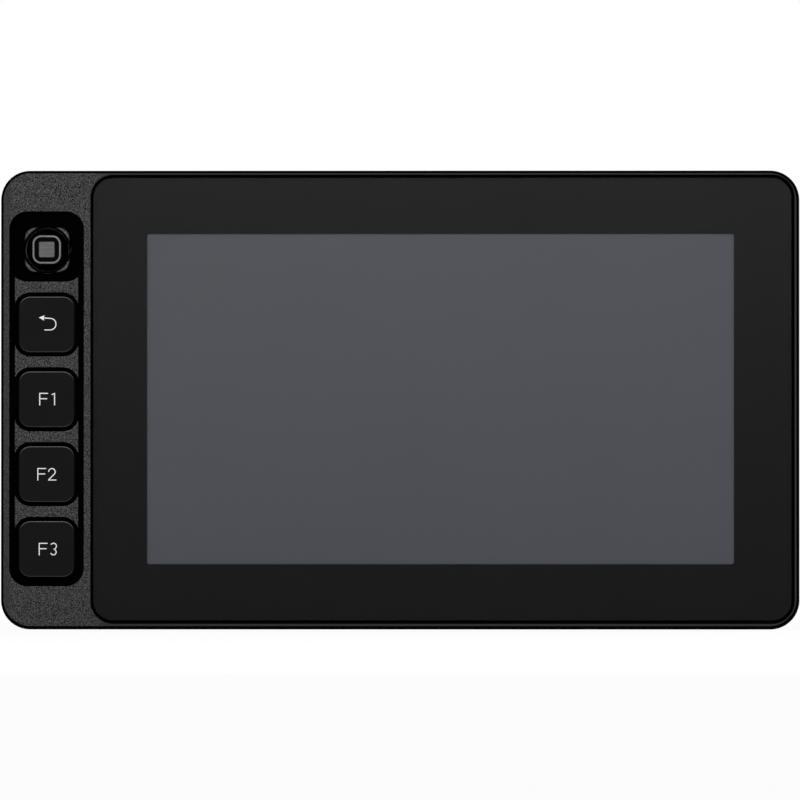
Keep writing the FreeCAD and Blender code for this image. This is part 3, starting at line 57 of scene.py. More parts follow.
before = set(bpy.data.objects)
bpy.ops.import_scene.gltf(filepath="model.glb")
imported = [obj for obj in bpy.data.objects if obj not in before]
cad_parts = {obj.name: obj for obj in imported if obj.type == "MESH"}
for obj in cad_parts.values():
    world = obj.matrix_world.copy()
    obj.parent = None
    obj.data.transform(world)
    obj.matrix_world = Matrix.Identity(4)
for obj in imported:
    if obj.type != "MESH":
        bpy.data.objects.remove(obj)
cad_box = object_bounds()

MM = 0.001
LOW, HIGH = cad_box
FRONT_Y = LOW.y
KEYS = {"back": "back_key", "f1": "f1_key", "f2": "f2_key", "f3": "f3_key"}

# The mix node has sockets for every kind of data, so its colour sockets go by number
MIX_FACTOR = 0
MIX_FIRST = 6
MIX_SECOND = 7
MIX_RESULT = 2
# Nearly all values of a noise lie between these
NOISE_LOW = 0.3
NOISE_HIGH = 0.7

# Patches of uneven gloss are this many grains wide
MOULDED_PATCH = 30
DRAWN_PATCH = 25
COAT_PATCH = 60

# The coat's grains: their height, how strongly they tilt the light, and where in the noise they rise
COAT_DEPTH = 0.04 * MM
COAT_STRENGTH = 0.5
COAT_HOLLOW = 0.37
COAT_PEAK = 0.65
# The noise is turned off the axes, because it is weaker on planes of its own grid
COAT_TILT = (0.6, 0.4, 0.9)
# The front's dark pieces shine weakly
FRONT_SHINE = 0.01
# Depths behind the front's face, each from start to full: the painted shade of the wells, and the end of
# the rounded edge
WELL_START = 0.006 * MM
WELL_FULL = 0.06 * MM
EDGE_END_START = 0.45 * MM
EDGE_END_FULL = 0.65 * MM
# The coat is drawn darker on the rim around the glass, and by a share at the left of the keys
DARKER_COAT_TONE = 0.33
DARKER_SHARE_AT_KEYS = 0.55
# Corner radii on the front: of the housing, of the coat inside its edge of painted shade, of the step to
# the glass
BODY_CORNER = 5.5 * MM
COAT_CORNER = 5.1 * MM
STEP_CORNER = 4.3 * MM
# Width of the painted shade along the outer edge, which is wider at the right and at the bottom
EDGE_LEFT = 0.50 * MM
EDGE_RIGHT = 0.58 * MM
EDGE_BOTTOM = 0.66 * MM
EDGE_TOP = 0.50 * MM
# How far the painted shade on the step to the glass reaches past the seal
STEP_RIGHT = 0.10 * MM
STEP_BOTTOM = 0.16 * MM
STEP_TOP = 0.08 * MM
# The joystick's collar: corner radius, and how far from its centre the coat, painted lit at the corners,
# begins
COLLAR_CORNER = 2.2 * MM
COLLAR_LIGHT_START = 4.45 * MM
COLLAR_LIGHT_FULL = 4.60 * MM

# Index that sets the glass's reflection, lower than plain glass has because of the coating
GLASS_IOR = 1.15
# Share of the light that the glass would send back face-on. The ink and the panel behind it show it instead
FACING_SHARE = 0.0049
# How far behind the glass the ink is drawn, so that the two don't share a plane
INK_GAP = 0.02 * MM

# The painted highlight on the edge of a key: depths below its top where it starts, is full, begins to end,
# and ends
HIGHLIGHT_START = 0.006 * MM
HIGHLIGHT_FULL = 0.02 * MM
HIGHLIGHT_FADE = 0.12 * MM
HIGHLIGHT_END = 0.18 * MM
# How strong the painted highlight is along the lower edge, against the upper one, since the light falls
# from above
LOWER_HIGHLIGHT = 0.4

# How far each print lies to the right of its key's middle and above it, in millimetres
PRINT_OFFSETS = {"back": (-0.14, 0.05), "f1": (0.10, 0.03), "f2": (0.05, -0.03), "f3": (0.24, -0.02)}
ARC_STEPS = 24
UPWARD = math.pi / 2
RIGHTWARD = 0.0

# Where each lamp stands, its width and height, and its share of the lamp level
LAMPS = {
    "front_lamp": ((0.0, -0.36, 0.158), (0.34, 0.16), 1.0),
    "side_lamp": ((-0.9, -0.5, 0.7), (0.8, 0.8), 0.4),
    "back_lamp": ((0.7, 1.1, 0.8), (0.9, 0.9), 0.9),
}
# The floor's reach each way, and the share of plain white in what is seen of it
FLOOR_REACH = 6.0
FLOOR_WHITE_SHARE = 0.92
# The camera's sensor width in millimetres, and how far it sees
SENSOR_WIDTH = 36.0
FAR_CLIP = 100.0


class MonitorFinishSettings(bpy.types.PropertyGroup):
    """Colours and grain of the monitor's outside."""

    coat_dark: bpy.props.FloatVectorProperty(
        name="Coat Dark",
        description="Hollows of the textured coat",
        subtype="COLOR",
        default=(0.003, 0.003, 0.0031),
    )
    coat_light: bpy.props.FloatVectorProperty(
        name="Coat Light",
        description="Peaks of the textured coat",
        subtype="COLOR",
        default=(0.090, 0.090, 0.091),
    )
    coat_grain: bpy.props.FloatProperty(
        name="Coat Grain",
        description="Spacing of the coat's grains",
        unit="LENGTH",
        precision=5,
        default=0.00018,
    )
    # Near-zero black: the colour of the seal, the tape and the joystick's stick, and painted shade on the
    # front's outer edge, on the step to the glass, in the wells, on the well's bezel and on the joystick
    # collar's sides
    black_and_painted_shade: bpy.props.FloatVectorProperty(
        name="Black And Painted Shade",
        description="Black pieces and painted shade",
        subtype="COLOR",
        default=(0.0002, 0.0002, 0.0002),
    )
    key_black: bpy.props.FloatVectorProperty(
        name="Key Black",
        description="Moulded keys",
        subtype="COLOR",
        default=(0.0032, 0.0032, 0.0033),
    )
    border_black: bpy.props.FloatVectorProperty(
        name="Border Black",
        description="Ink behind the glass",
        subtype="COLOR",
        default=(0.0012, 0.0012, 0.0012),
    )
    panel_grey: bpy.props.FloatVectorProperty(
        name="Panel Grey",
        description="Screen when it is off",
        subtype="COLOR",
        default=(0.0519, 0.0560, 0.0650),
    )
    trim_silver: bpy.props.FloatVectorProperty(
        name="Trim Silver",
        description="Ring and centre of the joystick",
        subtype="COLOR",
        default=(0.080, 0.080, 0.080),
    )
    # Pale colour painted as a highlight along the keys' rounded top edges
    key_edge_highlight: bpy.props.FloatVectorProperty(
        name="Key Edge",
        description="Painted highlight on the edge of the keys",
        subtype="COLOR",
        default=(0.16, 0.16, 0.16),
    )
    legend_white: bpy.props.FloatVectorProperty(
        name="Legend White",
        description="Print on the keys",
        subtype="COLOR",
        default=(0.74, 0.74, 0.74),
    )


class MonitorLegendSettings(bpy.types.PropertyGroup):
    """Sizes of the print on the keys."""

    cap_height: bpy.props.FloatProperty(
        name="Cap Height",
        description="Height of the letters",
        unit="LENGTH",
        precision=5,
        default=0.00234,
    )
    ink: bpy.props.FloatProperty(
        name="Ink",
        description="Thickness of the print",
        unit="LENGTH",
        precision=5,
        default=0.00002,
    )
    stroke: bpy.props.FloatProperty(
        name="Stroke",
        description="Width of the lines",
        unit="LENGTH",
        precision=5,
        default=0.00018,
    )
    letter_width: bpy.props.FloatProperty(
        name="Letter Width",
        description="Width of a letter",
        unit="LENGTH",
        precision=5,
        default=0.00165,
    )
    letter_pitch: bpy.props.FloatProperty(
        name="Letter Pitch",
        description="From one letter to the next",
        unit="LENGTH",
        precision=5,
        default=0.00205,
    )
    arrow_radius: bpy.props.FloatProperty(
        name="Arrow Radius",
        description="Middle radius of the arrow's bend",
        unit="LENGTH",
        precision=5,
        default=0.00109,
    )


class MonitorStageSettings(bpy.types.PropertyGroup):
    """Floor, lamps and camera."""

    floor_colour: bpy.props.FloatVectorProperty(
        name="Floor",
        description="Pale floor",
        subtype="COLOR",
        default=(0.86, 0.86, 0.86),
    )
    room_level: bpy.props.FloatProperty(
        name="Room Level",
        description="Soft light from all sides",
        default=0.55,
    )
    lamp_level: bpy.props.FloatProperty(
        name="Lamp Level",
        description="Brightness that the front lamp gives a white card",
        default=0.45,
    )
    view_width: bpy.props.FloatProperty(
        name="View Width",
        description="Width of the picture at the screen",
        unit="LENGTH",
        default=0.15078,
    )
    view_turn: bpy.props.FloatProperty(
        name="View Turn",
        description="How far to the right the camera stands",
        subtype="ANGLE",
        default=0.0105,
    )
    view_dip: bpy.props.FloatProperty(
        name="View Dip",
        description="How far below the screen's middle it stands",
        subtype="ANGLE",
        default=0.0100,
    )
    view_distance: bpy.props.FloatProperty(
        name="View Distance",
        description="From the camera to the screen",
        unit="LENGTH",
        default=1.6,
    )


class Finish:
    """A node material whose patterns are laid out in metres on the piece itself."""

    def __init__(self, name):
        self.material = bpy.data.materials.new(name)
        self.material.use_nodes = True
        self.tree = self.material.node_tree
        self.tree.nodes.clear()
        self.output = self.add("ShaderNodeOutputMaterial")
        self.place = self.add("ShaderNodeTexCoord").outputs["Object"]

    def add(self, kind, inputs=(), **settings):
        """A node with its settings, and values or links for its named inputs."""
        node = self.tree.nodes.new(kind)
        for name, value in settings.items():
            setattr(node, name, value)
        for name, value in dict(inputs).items():
            self.feed(node.inputs[name], value)
        return node

    def feed(self, socket, value):
        """Links an input to another node, or sets its value."""
        if isinstance(value, bpy.types.NodeSocket):
            self.tree.links.new(value, socket)
        elif socket.type == "RGBA" and len(value) == 3:
            socket.default_value = (*value, 1.0)
        else:
            socket.default_value = value

    def show(self, shader):
        """Makes a shader the surface of the piece."""
        self.tree.links.new(shader.outputs[0], self.output.inputs["Surface"])

    def principled(self, **inputs):
        """The surface shader, its inputs given by name with underscores for spaces."""
        shader = self.add("ShaderNodeBsdfPrincipled")
        for name, value in inputs.items():
            self.feed(shader.inputs[name.replace("_", " ")], value)
        self.show(shader)
        return shader

    def stretched(self, stretch, turn=(0, 0, 0)):
        """The piece's coordinates, squeezed along some axes for brushed or drawn patterns."""
        inputs = {"Vector": self.place, "Scale": stretch, "Rotation": turn}
        return self.add("ShaderNodeMapping", inputs).outputs[0]

    def noise(self, size, detail=2.0, place=None):
        """Soft noise with features of a size in metres."""
        inputs = {"Vector": place or self.place, "Scale": 1 / size, "Detail": detail}
        return self.add("ShaderNodeTexNoise", inputs).outputs[0]

    def bands(self, scale, axis):
        """Soft stripes that follow each other along an axis."""
        inputs = {"Vector": self.place, "Scale": scale}
        return self.add("ShaderNodeTexWave", inputs, wave_type="BANDS", bands_direction=axis).outputs[0]

    def ramp(self, value, start, stop, low=0.0, high=1.0):
        """A value run smoothly from one range to another."""
        inputs = {"Value": value, "From Min": start, "From Max": stop, "To Min": low, "To Max": high}
        return self.add("ShaderNodeMapRange", inputs, interpolation_type="SMOOTHSTEP").outputs[0]

    def uneven(self, noise, low, high):
        """A value that wanders with a noise between two limits."""
        return self.ramp(noise, NOISE_LOW, NOISE_HIGH, low, high)

    def math(self, operation, first, second=0.0):
        """Arithmetic with one or two values."""
        return self.add("ShaderNodeMath", {0: first, 1: second}, operation=operation).outputs[0]

    def vector(self, operation, first, second=(0.0, 0.0, 0.0)):
        """Arithmetic with one or two directions."""
        return self.add("ShaderNodeVectorMath", {0: first, 1: second}, operation=operation).outputs

    def mix(self, factor, first, second):
        """One colour turning into another."""
        inputs = {MIX_FACTOR: factor, MIX_FIRST: first, MIX_SECOND: second}
        return self.add("ShaderNodeMix", inputs, data_type="RGBA").outputs[MIX_RESULT]

    def varied(self, factor, colour, spread):
        """A colour that gets darker and lighter by a share."""
        return self.mix(factor, scaled(colour, 1 - spread), scaled(colour, 1 + spread))

    def bump(self, height, depth, strength=1.0):
        """Light that falls as if the face had this height."""
        inputs = {"Height": height, "Distance": depth, "Strength": strength}
        return self.add("ShaderNodeBump", inputs).outputs["Normal"]

    def axes(self):
        """The piece's own X, Y and Z."""
        return self.add("ShaderNodeSeparateXYZ", {"Vector": self.place}).outputs

    def worn_edges(self, width):
        """1 on sharp outer edges, 0 on flats."""
        soft = self.add("ShaderNodeBevel", {"Radius": width}, samples=6).outputs[0]
        true = self.add("ShaderNodeNewGeometry").outputs["Normal"]
        return self.ramp(self.vector("DOT_PRODUCT", soft, true)["Value"], 0.98, 0.8)

    def draw_below(self, depth):
        """Draws the piece a hair smaller, where another piece lies flat against it."""
        inputs = {"Height": -depth, "Midlevel": 0.0, "Scale": 1.0}
        step = self.add("ShaderNodeDisplacement", inputs)
        self.tree.links.new(step.outputs[0], self.output.inputs["Displacement"])
        self.material.displacement_method = "DISPLACEMENT"


def scaled(colour, share):
    """A colour made lighter or darker."""
    return tuple(part * share for part in colour)


def dress(finish, *nodes):
    """Gives CAD pieces a finish in place of the plain one they came with."""
    for name in nodes:
        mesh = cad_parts[name].data
        mesh.materials.clear()
        mesh.materials.append(finish.material)


def speckled(name, colour, spread=0.25, grain=0.2 * MM, depth=0.01 * MM, rough=(0.35, 0.55), **sockets):
    """A moulded or cast finish: a mottled colour, fine grain and uneven gloss."""
    finish = Finish(name)
    fine = finish.noise(grain)
    broad = finish.noise(grain * MOULDED_PATCH, 3.0)
    finish.principled(
        Base_Color=finish.varied(broad, colour, spread),
        Roughness=finish.uneven(broad, *rough),
        Normal=finish.bump(fine, depth),
        **sockets,
    )
    return finish


def drawn(name, colour, stretch, spread=0.2, grain=0.25 * MM, rough=(0.22, 0.38), depth=0.004 * MM):
    """Metal with fine lines along one direction, where its coordinates are stretched."""
    finish = Finish(name)
    lines = finish.noise(grain, 2.0, finish.stretched(stretch))
    blotch = finish.noise(grain * DRAWN_PATCH, 3.0)
    wear_and_highlight = finish.uneven(blotch, 0.85, 1.15)
    finish.principled(
        Base_Color=finish.varied(lines, colour, spread),
        Metallic=1.0,
        Roughness=finish.math("MULTIPLY", wear_and_highlight, finish.uneven(lines, *rough)),
        Normal=finish.bump(lines, depth),
    )
    return finish


def coat_grain(finish, settings, gain=1.0):
    """Height, colour and gloss of the sprayed black coat."""
    tilted = finish.stretched((1, 1, 1), COAT_TILT)
    fine = finish.noise(settings.coat_grain, 3.0, tilted)
    broad = finish.noise(settings.coat_grain * COAT_PATCH, 2.0)
    peaks = finish.ramp(fine, COAT_HOLLOW, COAT_PEAK)
    tone = finish.mix(peaks, scaled(settings.coat_dark, gain), scaled(settings.coat_light, gain))
    gloss = finish.uneven(broad, 0.62, 0.74)
    return fine, tone, gloss


def beyond(finish, across, upright, corner):
    """How far a point of the front lies outside a rectangle with round corners, less than 0 inside it."""
    axes = finish.axes()
    reach = []
    for axis, (low, high) in (("X", across), ("Z", upright)):
        away = finish.math("ABSOLUTE", finish.math("SUBTRACT", axes[axis], (low + high) / 2))
        inset = finish.math("SUBTRACT", away, (high - low) / 2 - corner)
        reach.append(finish.math("POWER", finish.math("MAXIMUM", inset, 0.0), 2.0))
    return finish.math("SUBTRACT", finish.math("SQRT", finish.math("ADD", *reach)), corner)


def rim_shade_mask(finish):
    """1 where shade is painted: along the outer edge of the front, and on the step down to the glass."""
    across = (LOW.x + EDGE_LEFT, HIGH.x - EDGE_RIGHT)
    upright = (LOW.z + EDGE_BOTTOM, HIGH.z - EDGE_TOP)
    edge = finish.ramp(beyond(finish, across, upright, COAT_CORNER), -0.04 * MM, 0.06 * MM)
    seal_low, seal_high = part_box("glass_seal")
    across = (seal_low.x, seal_high.x + STEP_RIGHT)
    upright = (seal_low.z - STEP_BOTTOM, seal_high.z + STEP_TOP)
    step = finish.ramp(beyond(finish, across, upright, STEP_CORNER), 0.05 * MM, -0.03 * MM)
    return finish.math("MAXIMUM", edge, step)


def darker_coat(finish):
    """Where the coat is drawn darker: on the rim around the glass, and less so at the left of the keys."""
    side_x = finish.axes()["X"]
    strip_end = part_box("glass_seal")[0].x
    past_strip = finish.ramp(side_x, strip_end, strip_end + 4 * MM)
    beside_keys = finish.ramp(side_x, LOW.x + 2.2 * MM, LOW.x + 1.4 * MM, 0.0, DARKER_SHARE_AT_KEYS)
    return finish.math("ADD", past_strip, beside_keys)


def front_coat_painted_shade(settings):
    """The front housing: coat on the face and sides, and painted shade in near-zero black on its outer
    edge, on the step to the glass and in the wells.
    """
    finish = Finish("front_coat_painted_shade")
    fine, tone, gloss = coat_grain(finish, settings)
    depth_y = finish.axes()["Y"]
    behind = finish.ramp(depth_y, FRONT_Y + WELL_START, FRONT_Y + WELL_FULL)
    past_edge = finish.ramp(depth_y, FRONT_Y + EDGE_END_START, FRONT_Y + EDGE_END_FULL)
    before = finish.math("SUBTRACT", 1.0, past_edge)
    walls = beyond(finish, (LOW.x, HIGH.x), (LOW.z, HIGH.z), BODY_CORNER)
    outer = finish.ramp(walls, -0.12 * MM, -0.02 * MM)
    coated_side = finish.math("MULTIPLY", outer, past_edge)
    # Painted shade in the wells, deeper than the front's face
    wells = finish.math("MULTIPLY", behind, finish.math("SUBTRACT", 1.0, coated_side))
    # The coat's colour is darker on the rim around the glass and at the left of the keys
    thin = finish.math("MULTIPLY", darker_coat(finish), before)
    tone = finish.mix(thin, tone, scaled(settings.coat_light, DARKER_COAT_TONE))
    # Painted shade on the outer edge and on the step to the glass
    rim = finish.math("MULTIPLY", rim_shade_mask(finish), before)
    painted_shade = finish.math("MAXIMUM", wells, rim)
    finish.principled(
        Base_Color=finish.mix(painted_shade, tone, settings.black_and_painted_shade),
        Roughness=gloss,
        Specular_IOR_Level=FRONT_SHINE,
        Normal=finish.bump(fine, COAT_DEPTH, COAT_STRENGTH),
    )
    return finish


def rear_coat(name, settings):
    """The same coat on the rear pieces, rubbed a little along their edges."""
    finish = Finish(name)
    fine, tone, gloss = coat_grain(finish, settings)
    patches = finish.ramp(finish.noise(2.5 * MM), 0.45, 0.75)
    wear_and_highlight = finish.math("MULTIPLY", finish.worn_edges(0.25 * MM), patches)
    finish.principled(
        Base_Color=finish.mix(wear_and_highlight, tone, scaled(settings.coat_light, 1.3)),
        Roughness=finish.math("SUBTRACT", gloss, finish.math("MULTIPLY", wear_and_highlight, 0.2)),
        Specular_IOR_Level=0.25,
        Normal=finish.bump(fine, COAT_DEPTH, COAT_STRENGTH),
    )
    return finish


class MONITOR_OT_housings(bpy.types.Operator):
    """Coats the front housing, the rear housing and the rear cover"""

    bl_idname = "monitor.housings"
    bl_label = "Housings"

    def execute(self, context):
        settings = context.scene.monitor_finish
        dress(front_coat_painted_shade(settings), "front_housing")
        dress(rear_coat("rear_coat", settings), "rear_housing")
        dress(rear_coat("cover_coat", settings), "rear_cover")
        return {"FINISHED"}


def screen_glass():
    """Thin coated glass: clear, with a weak soft reflection that grows at a slant."""
    finish = Finish("screen_glass")
    smudge = finish.ramp(finish.noise(9 * MM, 4.0), 0.35, 0.7, 0.35, 0.37)
    mirror = finish.add("ShaderNodeBsdfGlossy", {"Roughness": smudge, "Color": (1.0, 1.0, 1.0)})
    clear = finish.add("ShaderNodeBsdfTransparent")
    # The light isn't bent on its way in, so only the outer face reflects
    inside = finish.add("ShaderNodeNewGeometry").outputs["Backfacing"]
    outside = finish.math("SUBTRACT", 1.0, inside)
    mirrored = finish.add("ShaderNodeFresnel", {"IOR": GLASS_IOR}).outputs[0]
    slanted = finish.math("SUBTRACT", mirrored, FACING_SHARE)
    share = finish.math("MULTIPLY", finish.math("MAXIMUM", slanted, 0.0), outside)
    shaders = {0: share, 1: clear.outputs[0], 2: mirror.outputs[0]}
    finish.show(finish.add("ShaderNodeMixShader", shaders))
    return finish


def border_ink(settings):
    """Black print on the back of the glass, with the gloss of the glass over it."""
    finish = speckled(
        "border_ink",
        settings.border_black,
        spread=0.05,
        grain=0.4 * MM,
        depth=0.0001 * MM,
        rough=(0.34, 0.36),
        Specular_IOR_Level=0.088,
    )
    finish.draw_below(INK_GAP)
    return finish


def off_panel(settings):
    """The panel with its light off: cool grey, with the faint rows and columns of its dots."""
    finish = Finish("off_panel")
    dot_scale = 900.0
    dots = finish.math("MULTIPLY", finish.bands(dot_scale, "X"), finish.bands(dot_scale, "Z"))
    cloud = finish.noise(30 * MM, 2.0)
    even = finish.varied(cloud, settings.panel_grey, 0.03)
    faint = finish.math("MULTIPLY", dots, 0.03)
    finish.principled(
        Base_Color=finish.mix(faint, even, scaled(settings.panel_grey, 1.4)),
        Roughness=finish.uneven(cloud, 0.36, 0.42),
        Specular_IOR_Level=0.15,
        Normal=finish.bump(dots, 0.002 * MM, 0.3),
    )
    return finish


class MONITOR_OT_screen(bpy.types.Operator):
    """Finishes the cover glass and the display stack behind it"""

    bl_idname = "monitor.screen"
    bl_label = "Screen"

    def execute(self, context):
        settings = context.scene.monitor_finish
        black = settings.black_and_painted_shade
        rubber = speckled(
            "seal_rubber",
            black,
            spread=0.3,
            grain=0.3 * MM,
            rough=(0.7, 0.85),
            Specular_IOR_Level=FRONT_SHINE,
        )
        tape = speckled("bond_tape", black, spread=0.4, grain=0.5 * MM, depth=0.02 * MM, rough=(0.6, 0.8))
        guide = speckled("milky_guide", (0.75, 0.76, 0.76), spread=0.04, grain=0.8 * MM, rough=(0.3, 0.45))
        strip = speckled(
            "lamp_strip", (0.7, 0.68, 0.55), spread=0.1, grain=0.8 * MM, depth=0.02 * MM, rough=(0.3, 0.5)
        )
        dress(screen_glass(), "cover_glass")
        dress(border_ink(settings), "border_mask")
        dress(rubber, "glass_seal")
        dress(tape, "glass_tape")
        dress(off_panel(settings), "lcd_cell")
        dress(guide, "light_guide")
        dress(strip, "led_bar")
        dress(drawn("tray_sheet", (0.55, 0.56, 0.57), (0.05, 1, 1)), "backlight_tray")
        dress(drawn("frame_sheet", (0.42, 0.42, 0.43), (1, 1, 0.05)), "display_frame")
        return {"FINISHED"}


def key_plastic_painted_highlight(name, settings, axis, top, sense):
    """Satin moulded plastic with a fine spark texture, and a pale painted highlight, a little glossier too,
    along the rounded edge of its top.
    """
    finish = Finish(name)
    fine = finish.noise(0.11 * MM, 2.0)
    broad = finish.noise(4 * MM, 2.0)
    below_top = finish.math("MULTIPLY", finish.math("SUBTRACT", finish.axes()[axis], top), sense)
    start = finish.ramp(below_top, HIGHLIGHT_START, HIGHLIGHT_FULL)
    end = finish.ramp(below_top, HIGHLIGHT_END, HIGHLIGHT_FADE)
    # Painted highlight: full on the upper edges where the light falls from above, weaker on the lower ones
    facing = finish.add("ShaderNodeNewGeometry").outputs["Normal"]
    up = finish.add("ShaderNodeSeparateXYZ", {"Vector": facing}).outputs["Z"]
    upper = finish.ramp(up, 0.1, 0.7)
    lower = finish.ramp(up, -0.1, -0.7, 0.0, LOWER_HIGHLIGHT)
    along = finish.math("ADD", upper, lower)
    wear_and_highlight = finish.math("MULTIPLY", finish.math("MULTIPLY", start, end), along)
    tone = finish.varied(broad, settings.key_black, 0.07)
    satin = finish.uneven(broad, 0.48, 0.56)
    finish.principled(
        Base_Color=finish.mix(wear_and_highlight, tone, settings.key_edge_highlight),
        Roughness=finish.math("SUBTRACT", satin, finish.math("MULTIPLY", wear_and_highlight, 0.12)),
        Specular_IOR_Level=0.05,
        Normal=finish.bump(fine, 0.006 * MM, 0.4),
    )
    return finish


class MONITOR_OT_keys(bpy.types.Operator):
    """Finishes the four keys, the power key and the switches under them"""

    bl_idname = "monitor.keys"
    bl_label = "Keys"

    def execute(self, context):
        settings = context.scene.monitor_finish
        key_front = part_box(KEYS["back"])[0].y
        dress(key_plastic_painted_highlight("key_plastic_painted_highlight", settings, "Y", key_front, 1.0), *KEYS.values())
        power_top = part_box("power_button")[1].z
        dress(key_plastic_painted_highlight("power_plastic_painted_highlight", settings, "Z", power_top, -1.0), "power_button")
        plungers = [f"{name}_plunger" for name in (*KEYS, "power")]
        dress(speckled("plunger_plastic", (0.012, 0.012, 0.013), spread=0.2), *plungers)
        switches = ("key_switches", "power_switch", "press_switch")
        dress(speckled("switch_plastic", (0.014, 0.014, 0.015), spread=0.2), *switches)
        return {"FINISHED"}


def collar_coat_painted_light(settings):
    """Coat painted lit at the corners of the joystick's collar, twice as bright as elsewhere, and painted
    shade in near-zero black along its sides and towards its outer edge.
    """
    finish = Finish("collar_coat_painted_light")
    # The coat's colour is doubled here as a painted highlight
    fine, tone, gloss = coat_grain(finish, settings, gain=2.0)
    low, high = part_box("joystick_collar")
    offset = finish.vector("SUBTRACT", finish.place, (low + high) / 2)[0]
    away = finish.vector("MULTIPLY", offset, (1, 0, 1))[0]
    reach = finish.vector("LENGTH", away)["Value"]
    # Painted light on the corners, fading to painted shade towards the outer edge
    corner = finish.ramp(reach, COLLAR_LIGHT_START, COLLAR_LIGHT_FULL)
    sides = beyond(finish, (low.x, high.x), (low.z, high.z), COLLAR_CORNER)
    fade = finish.ramp(sides, -0.10 * MM, -0.55 * MM)
    finish.principled(
        Base_Color=finish.mix(finish.math("MULTIPLY", corner, fade), settings.black_and_painted_shade, tone),
        Roughness=gloss,
        Specular_IOR_Level=FRONT_SHINE,
        Normal=finish.bump(fine, COAT_DEPTH, COAT_STRENGTH),
    )
    return finish


class MONITOR_OT_joystick(bpy.types.Operator):
    """Finishes the joystick, its silver trim and its works"""

    bl_idname = "monitor.joystick"
    bl_label = "Joystick"

    def execute(self, context):
        settings = context.scene.monitor_finish
        black = settings.black_and_painted_shade
        silver = settings.trim_silver
        brushed = (0.15, 1, 1)
        # The bezel lining the well gets near-zero black as painted shade of the well
        shaded_well_bezel = speckled(
            "well_painted_shade",
            black,
            spread=0.3,
            grain=0.3 * MM,
            rough=(0.6, 0.75),
            Specular_IOR_Level=FRONT_SHINE,
        )
        stick = speckled("stick_plastic", black, spread=0.3, rough=(0.45, 0.6), Specular_IOR_Level=0.02)
        dress(shaded_well_bezel, "joystick_bezel")
        dress(collar_coat_painted_light(settings), "joystick_collar")
        dress(stick, "joystick_stick", "joystick_cap")
        dress(drawn("trim_metal", silver, brushed, spread=0.06), "joystick_trim")
        dress(drawn("insert_metal", scaled(silver, 0.64), brushed, spread=0.06), "joystick_insert")
        dress(drawn("gimbal_metal", (0.4, 0.4, 0.41), (1, 0.1, 1)), "gimbal_ring", "gimbal_hub")
        dress(speckled("base_plastic", (0.01, 0.01, 0.01), spread=0.2), "joystick_base")
        return {"FINISHED"}


def board_mask(name):
    """Green solder mask over tracks, with the weave of the laminate showing through."""
    finish = Finish(name)
    laid_flat = finish.stretched((1, 1, 1), (math.pi / 2, 0, 0))
    layout = {"Vector": laid_flat, "Scale": 220.0, "Mortar Size": 0.03}
    tracks = finish.add("ShaderNodeTexBrick", layout).outputs["Fac"]
    weave = finish.noise(0.4 * MM, 2.0)
    finish.principled(
        Base_Color=finish.mix(tracks, (0.006, 0.045, 0.020), (0.014, 0.085, 0.036)),
        Roughness=finish.uneven(weave, 0.28, 0.42),
        Normal=finish.bump(finish.math("ADD", weave, tracks), 0.02 * MM, 0.4),
    )
    return finish


def flat_cable(name, axis):
    """A film cable: amber film with copper tracks side by side."""
    finish = Finish(name)
    tracks = finish.bands(320.0, axis)
    finish.principled(
        Base_Color=finish.mix(finish.ramp(tracks, 0.4, 0.6), (0.16, 0.07, 0.012), (0.34, 0.16, 0.05)),
        Roughness=finish.uneven(finish.noise(1.5 * MM), 0.25, 0.4),
        Normal=finish.bump(tracks, 0.01 * MM, 0.4),
    )
    return finish


class MONITOR_OT_works(bpy.types.Operator):
    """Finishes the boards, the cooling parts and the film cables"""

    bl_idname = "monitor.works"
    bl_label = "Inner Works"

    def execute(self, context):
        chip = speckled(
            "chip_resin", (0.012, 0.012, 0.013), grain=0.3 * MM, depth=0.02 * MM, rough=(0.5, 0.65)
        )
        fan_plastic = speckled("fan_frame_plastic", (0.011, 0.011, 0.012), grain=0.4 * MM, depth=0.02 * MM)
        blades = speckled(
            "fan_blade_plastic", (0.018, 0.018, 0.019), spread=0.2, grain=0.6 * MM, rough=(0.3, 0.45)
        )
        dress(board_mask("board_mask"), "main_board", "key_board")
        dress(drawn("standoff_brass", (0.48, 0.35, 0.14), (1, 0.1, 1)), "board_standoffs")
        dress(chip, "processor")
        dress(drawn("sink_aluminium", (0.42, 0.43, 0.44), (1, 1, 0.04)), "heat_sink")
        dress(fan_plastic, "fan_frame")
        dress(blades, "fan_rotor")
        dress(flat_cable("display_film", "X"), "display_cable")
        dress(flat_cable("key_film", "Z"), "key_cable")
        return {"FINISHED"}


class MONITOR_OT_connectors(bpy.types.Operator):
    """Finishes the sockets in the two side walls"""

    bl_idname = "monitor.connectors"
    bl_label = "Connectors"

    def execute(self, context):
        jack = drawn("jack_nickel", (0.62, 0.60, 0.56), (0.15, 1, 1), spread=0.12)
        nut = drawn("nut_nickel", (0.55, 0.53, 0.49), (0.3, 1, 1), spread=0.15)
        insulator = speckled(
            "insulator_white", (0.72, 0.71, 0.68), spread=0.05, grain=0.4 * MM, rough=(0.35, 0.5)
        )
        gold = drawn("contact_gold", (0.75, 0.52, 0.18), (0.2, 1, 1), spread=0.1)
        socket = speckled("socket_plastic", (0.010, 0.010, 0.011), grain=0.3 * MM, depth=0.02 * MM)
        port = drawn("port_steel", (0.5, 0.5, 0.5), (0.08, 1, 1), spread=0.15)
        dress(jack, "sdi_in_jack", "sdi_out_jack")
        dress(nut, "sdi_nuts")
        dress(insulator, "sdi_insulators")
        dress(gold, "sdi_contacts", "power_pins")
        dress(socket, "power_socket", "headphone_jack")
        dress(port, "video_in_port", "video_out_port")
        dress(speckled("tongue_plastic", (0.012, 0.012, 0.013), spread=0.2), "video_tongues")
        return {"FINISHED"}


